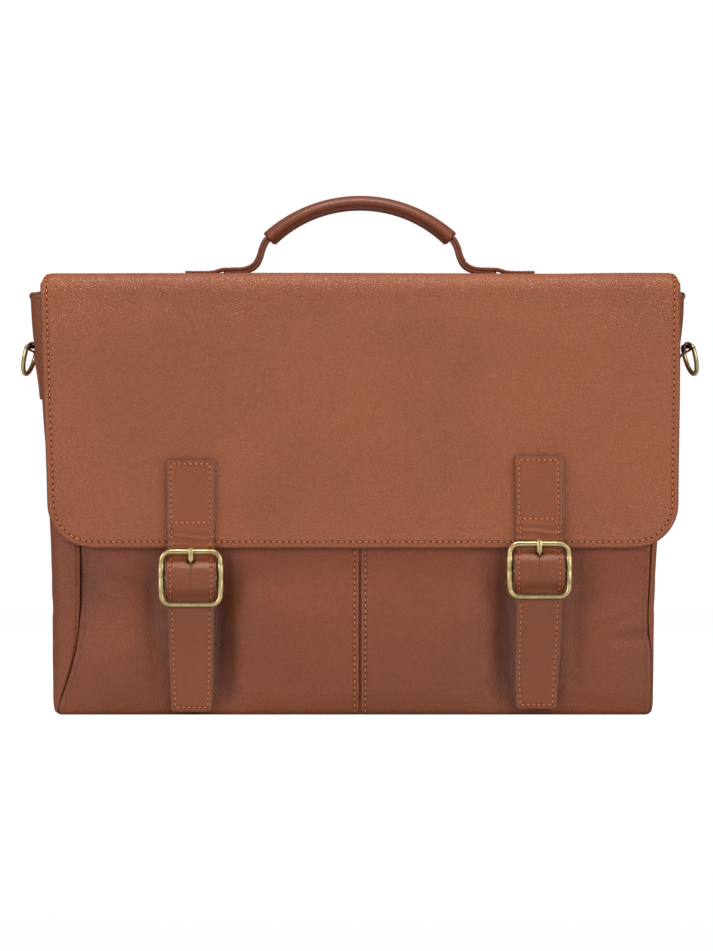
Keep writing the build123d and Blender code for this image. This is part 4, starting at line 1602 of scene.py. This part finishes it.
    def build_buckle(self, body: str) -> None:
        """Builds the wire frame with its side sleeves, and the bar."""
        corner = 5.8
        wide, high = self.half_width - 1.8, self.half_height - 1.8
        wire = Wire((self.wire * MM, self.wire * MM), mm(self.x, self.rail_y, self.buckle + high),
                    Vector((1, 0, 0)), Vector((0, 0, -1)))
        wire.straight((wide - corner) * MM)
        for run in (2 * (high - corner), 2 * (wide - corner), 2 * (high - corner), wide - corner):
            wire.turn(corner * MM, RIGHT_ANGLE, 7).straight(run * MM)
        rim = to_object(self.word + "_buckle_wire", wire.closed(), self.finishes.brass)
        settle(rim, body, nodes=[self.word + "_buckle_frame"])
        lip, thick = 9.0, self.wire + 0.45
        profile = [(0, -lip), (thick - 0.3, -lip), (thick, -lip + 0.5), (thick, -0.3), (thick - 0.18, 0.0),
                   (thick, 0.3), (thick, lip - 0.5), (thick - 0.3, lip), (0, lip)]
        for sign in (-1, 1):
            sleeve = turned(f"{self.word}_buckle_sleeve_{'outer' if sign < 0 else 'inner'}", profile,
                            mm(self.x + sign * wide, self.rail_y, self.buckle), Vector((0, 0, 1)),
                            self.finishes.brass, 20)
            settle(sleeve, body)
        ends = [(0, -wide), (1.2, -wide), (1.2, -6), (1.05, -5), (1.05, 5), (1.2, 6), (1.2, wide), (0, wide)]
        bar = turned(self.word + "_middle_bar", ends, mm(self.x, self.bar_y, self.buckle), Vector((1, 0, 0)),
                     self.finishes.brass, 16)
        settle(bar, body, nodes=[self.word + "_buckle_bar"])

    def build_tongue(self) -> None:
        """Builds the tongue: an eye on the bar, a thin shank and a head that hooks over the top rail."""
        eye = [(1.3, -0.35), (2.2, -0.35), (2.3, 0.0), (2.2, 0.35), (1.3, 0.35), (1.3, -0.35)]
        ring = turned(self.word + "_tongue_eye", eye, mm(self.x, self.bar_y, self.buckle), Vector((1, 0, 0)),
                      self.finishes.brass, 20)
        settle(ring, self.word + "_tongue")
        route = [mm(self.x, y, self.buckle + z)
                 for y, z in ((-54.2, 2.0), (-54.7, 6.0), (-55.4, 9.4), (-56.2, 12.2), (-56.9, 15.4),
                              (-56.8, 17.4), (-56.2, 18.9))]
        piece = strand(self.word + "_tongue_shank", smooth_path(route, 5), (1.0 * MM, 0.85 * MM),
                       Vector((1, 0, 0)), self.finishes.brass, 12)
        blade, head = 0.1, 1.75
        for vertex in piece.data.vertices:
            share = ease((vertex.co.z - (self.buckle + 9.2) * MM) / (2.6 * MM))
            wide = blade + (head - blade) * share
            vertex.co.x = self.x * MM + (vertex.co.x - self.x * MM) * wide
        settle(piece, self.word + "_tongue", nodes=[self.word + "_buckle_tongue"])

    def build_chape(self, body: str) -> None:
        """Builds the leather that holds the bar, with the snap's halves behind it."""
        route = [Vector((self.buckle + z, 0, -y))
                 for y, z in ((-49.8, -37.0), (-49.9, -25.0), (-49.9, -12.0), (-50.4, -5.0), (-50.9, 0.0),
                              (-52.0, 2.4), (-53.9, 2.5), (-55.4, 1.2))]
        flat = Ribbon(self.word + "_chape_leather", smooth_path(route, 8), 24.0, 1.0).sheet()

        def place(x: float, s: float) -> Vector:
            """Turns the ribbon's line upright behind the strap."""
            where = flat.place(x / MM, s / MM)
            return mm(self.x + where.y, -where.z, where.x)

        def shape(across: float, along: float) -> Flat:
            """The strip in metres."""
            x, s = flat.shape(across, along)
            return x * MM, s * MM

        sheet = Sheet(self.word + "_chape_leather", shape, place, Vector((0, -1, 0)), 0.9 * MM, 12, 60,
                      keep=lambda x, s: not (abs(x) < 2.0 * MM and s > 32 * MM))
        settle(sheet.build(self.finishes.strap), body, nodes=[self.word + "_chape"])
        z = self.buckle - 25.0
        stud = [(0, 0), (6.6, 0), (7.0, 0.35), (7.0, 0.9), (6.2, 1.2), (2.6, 1.2), (2.4, 2.3), (0, 2.5)]
        socket = [(0, 0), (6.9, 0), (7.0, 0.7), (6.4, 1.3), (4.4, 1.3), (4.2, 0.5), (0, 0.4)]
        for name, foot, axis, profile, on in (("snap_stud", -47.95, Vector((0, 1, 0)), stud, body),
                                              ("snap_socket", -45.0, Vector((0, -1, 0)), socket, "case")):
            piece = turned(f"{self.word}_{name}_metal", profile, mm(self.x, foot, z), axis, self.finishes.brass)
            settle(piece, on, nodes=[f"{self.word}_{name}"])


# ------------------------------------------------------------------ rings on the gussets


@dataclass
class RingSet:
    """A D-ring with its leather loop and sewn patch. Sizes are in millimetres."""

    finishes: Finishes
    bag: Bag
    side: Side
    x: float = 209.455
    z: float = 234.0
    wire: float = 1.45
    half: float = 12.0
    drop: float = 6.0
    tilt: float = 13.6
    yaw: float = 14.0

    def build(self) -> None:
        """Builds the ring, the loop and the patch."""
        sign = self.side.value
        place = Matrix.Translation(mm(sign * self.x, 0, self.z)) @ Matrix.Rotation(
            math.radians(self.yaw * sign), 4, "Z") @ Matrix.Rotation(math.radians(-sign * self.tilt), 4, "Y")
        wire = Wire((self.wire * MM, self.wire * MM), Vector((0, 0, 0)), Vector((0, 1, 0)), Vector((0, 0, -1)))
        corner = 2.6
        wire.straight((self.half - corner) * MM, 2).turn(corner * MM, RIGHT_ANGLE, 6)
        wire.straight((self.drop - corner) * MM).turn(self.half * MM, math.pi, 20)
        wire.straight((self.drop - corner) * MM).turn(corner * MM, RIGHT_ANGLE, 6)
        wire.straight((self.half - corner) * MM, 2)
        mesh = wire.closed()
        bmesh.ops.transform(mesh, matrix=place, verts=mesh.verts[:])
        ring = to_object(self.side.word + "_dee_wire", mesh, self.finishes.brass)
        settle(ring, self.side.word + "_ring", nodes=[self.side.word + "_d_ring"])
        self.build_loop()
        self.build_patch()

    def build_loop(self) -> None:
        """Builds the leather loop that carries the ring."""
        out = self.x
        wall = self.bag.out(self.side, self.z) - 2.4
        route = [mm(x, 0, self.z + z)
                 for x, z in ((wall - 0.2, -16), (wall + 0.6, -8), (out - 3.0, -3.4), (out - 2.9, 0.8),
                              (out - 1.0, 3.0), (out + 1.8, 2.5), (out + 3.0, 0.1), (out + 1.9, -2.5),
                              (out - 1.4, -4.4), (wall + 2.6, -9), (wall + 1.9, -16))]
        ribbon = Ribbon(self.side.word + "_ring_holder", smooth_path(route, 6), 17 * MM, 1.3 * MM).sheet()
        if self.side is Side.LEFT:
            mirrored(ribbon)
        settle(ribbon.build(self.finishes.strap), "case", nodes=[self.side.word + "_ring_loop"])

    def build_patch(self) -> None:
        """Builds the patch sewn over the loop's ends."""
        half, tall, top = 31.0, 29.0, 229.0

        def shape(across: float, along: float) -> Flat:
            """A broad shield, a little narrower below."""
            return (2 * across - 1) * (half - 2.4 * ease(along)) * MM, along * tall * MM

        def place(y: float, s: float) -> Vector:
            """Lies over the gusset, lifted over the loop's ends, and turns in at its ends."""
            z = top - s / MM
            over = 1.1 * hill(z, 224, 7) * hill(y / MM, 0, 12)
            x = self.bag.out(self.side, z) + 1.5 + over - 1.3 * ease((abs(y / MM) - 22) / 12)
            return mm(self.side.value * x, y / MM, z)

        sheet = Sheet(self.side.word + "_ring_shield", shape, place, Vector((self.side.value, 0, 0)),
                      1.9 * MM, 40, 22, lambda y, s: min(half * MM - abs(y), s, tall * MM - s))
        settle(sheet.build(self.finishes.strap), "case", nodes=[self.side.word + "_ring_patch"])
        seam = Seam(sheet, pitch=3.4 * MM, proud=0.12 * MM)
        box = [(y * MM, s * MM)
               for y, s in ((-28.0, 2.6), (28.0, 2.6), (25.8, 26.4), (-25.8, 26.4), (-28.0, 2.6))]
        settle(thread(self.side.word + "_ring_stitches", [(seam, box)], self.finishes), "case")


# ------------------------------------------------------------------ the handle


@dataclass
class Handle:
    """The arched grip and its two double legs. Sizes are in millimetres."""

    finishes: Finishes
    half_span: float = 58.4
    end: float = 302.5
    top: float = 326.0
    half_thick: float = 4.4
    half_wide: float = 11.0
    leg_thick: float = 2.1

    def arc(self, share: float, lift: float) -> Vector:
        """A point on the arch, from -1 to 1, lifted off its middle line."""
        rise = self.top - self.end
        radius = (self.half_span ** 2 + rise ** 2) / (2 * rise)
        reach = math.asin(self.half_span / radius) * share
        return mm((radius + lift) * math.sin(reach), 0, self.top - radius + (radius + lift) * math.cos(reach))

    def build(self) -> None:
        """Builds the grip, the seam under it and both legs."""
        line = [self.arc(t, 0) for t in spread(-1, 1, 56)]
        grip = strand("grip_leather", line, (self.half_wide * MM, self.half_thick * MM), Vector((0, 1, 0)),
                      self.finishes.handle, 28, lambda t: 1 + 0.16 * abs(2 * t - 1) ** 3)
        settle(grip, "handle", nodes=["handle_grip", "handle_core"])
        low = [self.arc(t, -self.half_thick - 0.1 - 0.5 * abs(t) ** 3) for t in spread(-0.985, 0.985, 48)]
        seam = strand("grip_seam", low, (3.2 * MM, 0.75 * MM), Vector((0, 1, 0)), self.finishes.flap, 10)
        settle(seam, "handle")
        for side in Side:
            self.build_leg(side)

    def build_leg(self, side: Side) -> None:
        """Builds one leg: an upper strap that runs far along the flap and a shorter one under it."""
        upper = ((59.6, 305.4), (62.2, 302.2), (64.4, 297.4), (66.0, 292.0), (68.6, 287.4), (74.0, 284.9),
                 (81.0, 284.5), (88.0, 284.2), (92.5, 282.9), (97.0, 282.3), (111.5, 282.3))
        bend = ("flap_top", "handle", mm(side.value * 64, 0, 284.2), mm(side.value * 64, 0, 297.2))
        outer = smooth_path([mm(x, 0, z) for x, z in upper], 8)
        under = [b + (c - a).normalized().cross(Vector((0, -1, 0))) * 2.15 * MM
                 for a, b, c in zip(outer, outer[1:], outer[2:]) if b.x < 88 * MM]
        for name, line, wide, nodes in (("leg_upper", outer, 20.0, ("handle_leg", "handle_tab_cover")),
                                        ("leg_lower", under, 19.4, ("handle_tab",))):
            sheet = Ribbon(f"{side.word}_{name}", line, wide * MM, self.leg_thick * MM, 16).sheet()
            if side is Side.LEFT:
                mirrored(sheet)
            settle(sheet.build(self.finishes.handle), bend=bend,
                   nodes=[f"{side.word}_{node}" for node in nodes])
            if line is outer:
                self.stitch_leg(side, sheet, Route(line).total, bend)

    def stitch_leg(self, side: Side, sheet: Sheet, total: float, bend: tuple[str, str, Vector, Vector]) -> None:
        """Sews around the free end of a leg's upper strap.

        Args:
            side: The side of the leg.
            sheet: The strap.
            total: The strap's length.
            bend: The bodies that the leg bends between.
        """
        edge, start = 7.4 * MM, 16 * MM
        end = total - 2.6 * MM
        line = [(-edge, start), (-edge, end), (edge, end), (edge, start)]
        seam = Seam(sheet, pitch=3.3 * MM, wide=0.34 * MM, proud=0.0)
        settle(thread(f"{side.word}_leg_stitches", [(seam, line)], self.finishes), bend=bend)


# ------------------------------------------------------------------ the whole picture


class Briefcase:
    """All the sub-assemblies of the briefcase."""

    def __init__(self) -> None:
        """Builds the finishes and sets out the sub-assemblies."""
        self.finishes = Finishes()
        flap = Flap(self.finishes)
        bag = Bag(self.finishes)
        self.parts: list[tuple[str, object]] = [
            ("flap and back", flap),
            ("bag", bag),
            ("left strap", StrapSet(self.finishes, flap, Side.LEFT, x=-107.0, anchor=120.3, buckle=86.7,
                                    tail=2.2, lean=0.5)),
            ("right strap", StrapSet(self.finishes, flap, Side.RIGHT, x=113.5, anchor=122.8, buckle=91.7,
                                     tail=4.0, lean=-2.0)),
            ("left ring", RingSet(self.finishes, bag, Side.LEFT)),
            ("right ring", RingSet(self.finishes, bag, Side.RIGHT)),
            ("handle", Handle(self.finishes)),
        ]

    def build(self) -> None:
        """Builds each sub-assembly."""
        for name, part in self.parts:
            part.build()
            log.info("built the %s", name)


@dataclass(frozen=True)
class Lamp:
    """A soft window: where it stands, its width and height, and its power."""

    place: tuple[float, float, float]
    size: tuple[float, float]
    power: float


@dataclass
class Studio:
    """A bright white floor and surroundings, six soft windows, and the camera."""

    distance: float = 5.048
    height: float = 0.1516
    lens: float = 299.0
    ambient: float = 0.15
    lamps: Sequence[Lamp] = (
        Lamp((-1.00, -0.62, 0.42), (0.40, 0.80), 5.4),
        Lamp((1.02, -0.64, 0.36), (0.40, 0.80), 5.6),
        Lamp((-0.64, -1.10, 0.48), (0.30, 0.60), 3.3),
        Lamp((0.64, -1.08, 0.48), (0.30, 0.60), 3.6),
        Lamp((-0.15, -0.15, 1.05), (0.34, 0.30), 5.2),
        Lamp((0.19, -0.15, 1.05), (0.24, 0.30), 3.9),
    )

    def floor(self) -> None:
        """Lays the pale floor."""
        mesh = bmesh.new()
        bmesh.ops.create_grid(mesh, x_segments=2, y_segments=2, size=4.0)
        bmesh.ops.translate(mesh, verts=mesh.verts[:], vec=(0, 0, -0.0006))
        material, tree, shader = new_material("pale_floor")
        shader.inputs["Base Color"].default_value = (0.80, 0.80, 0.80, 1.0)
        shader.inputs["Roughness"].default_value = 0.9
        shader.inputs["Emission Color"].default_value = (1.0, 1.0, 1.0, 1.0)
        seen = tree.nodes.new("ShaderNodeLightPath").outputs["Is Camera Ray"]
        tree.links.new(math_node(tree, "MULTIPLY", seen, 0.85), shader.inputs["Emission Strength"])
        to_object("floor", mesh, material)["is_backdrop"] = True

    def light(self) -> None:
        """Sets the white surroundings and the soft lamps."""
        world = bpy.data.worlds.new("white_room")
        world.use_nodes = True
        tree = world.node_tree
        tree.nodes["Background"].inputs["Color"].default_value = (1.0, 1.0, 1.0, 1.0)
        seen = tree.nodes.new("ShaderNodeLightPath").outputs["Is Camera Ray"]
        strength = mapped(tree, seen, 0.0, 1.0, self.ambient, 1.0)
        tree.links.new(strength, tree.nodes["Background"].inputs["Strength"])
        bpy.context.scene.world = world
        target = Vector((0, 0, 0.15))
        for index, lamp in enumerate(self.lamps):
            data = bpy.data.lights.new(f"window_{index}", "AREA")
            data.shape = "RECTANGLE"
            data.size, data.size_y = lamp.size
            data.energy = lamp.power
            window = bpy.data.objects.new(data.name, data)
            window.location = lamp.place
            window.rotation_euler = (target - Vector(lamp.place)).to_track_quat("-Z", "Y").to_euler()
            bpy.context.scene.collection.objects.link(window)
            window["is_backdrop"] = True

    def camera(self) -> None:
        """Places the camera level with the bag, straight in front."""
        data = bpy.data.cameras.new("camera")
        data.lens = self.lens
        data.clip_end = 20.0
        camera = bpy.data.objects.new("camera", data)
        camera.location = (-0.0022, -self.distance, self.height)
        camera.rotation_euler = (math.pi / 2, 0, 0)
        bpy.context.scene.collection.objects.link(camera)
        bpy.context.scene.camera = camera
        camera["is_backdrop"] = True

    def build(self) -> None:
        """Builds the floor, the light and the camera."""
        self.floor()
        self.light()
        self.camera()
        bpy.context.scene.view_settings.view_transform = "Standard"


def main() -> None:
    """Builds the briefcase and the studio."""
    logging.basicConfig(level=logging.INFO, format="%(message)s")
    Briefcase().build()
    Studio().build()
    sizes = {"cad": as_lists(cad_bounds), "visual": as_lists(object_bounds())}
    log.info("sizes %s", sizes)


def as_lists(bounds: object) -> object:
    """Turns a nest of vectors into plain lists."""
    if isinstance(bounds, dict):
        return {key: as_lists(value) for key, value in bounds.items()}
    if isinstance(bounds, (Vector, tuple, list)):
        return [as_lists(value) for value in bounds]
    return round(float(bounds), 5)


if __name__ == "__main__":
    main()
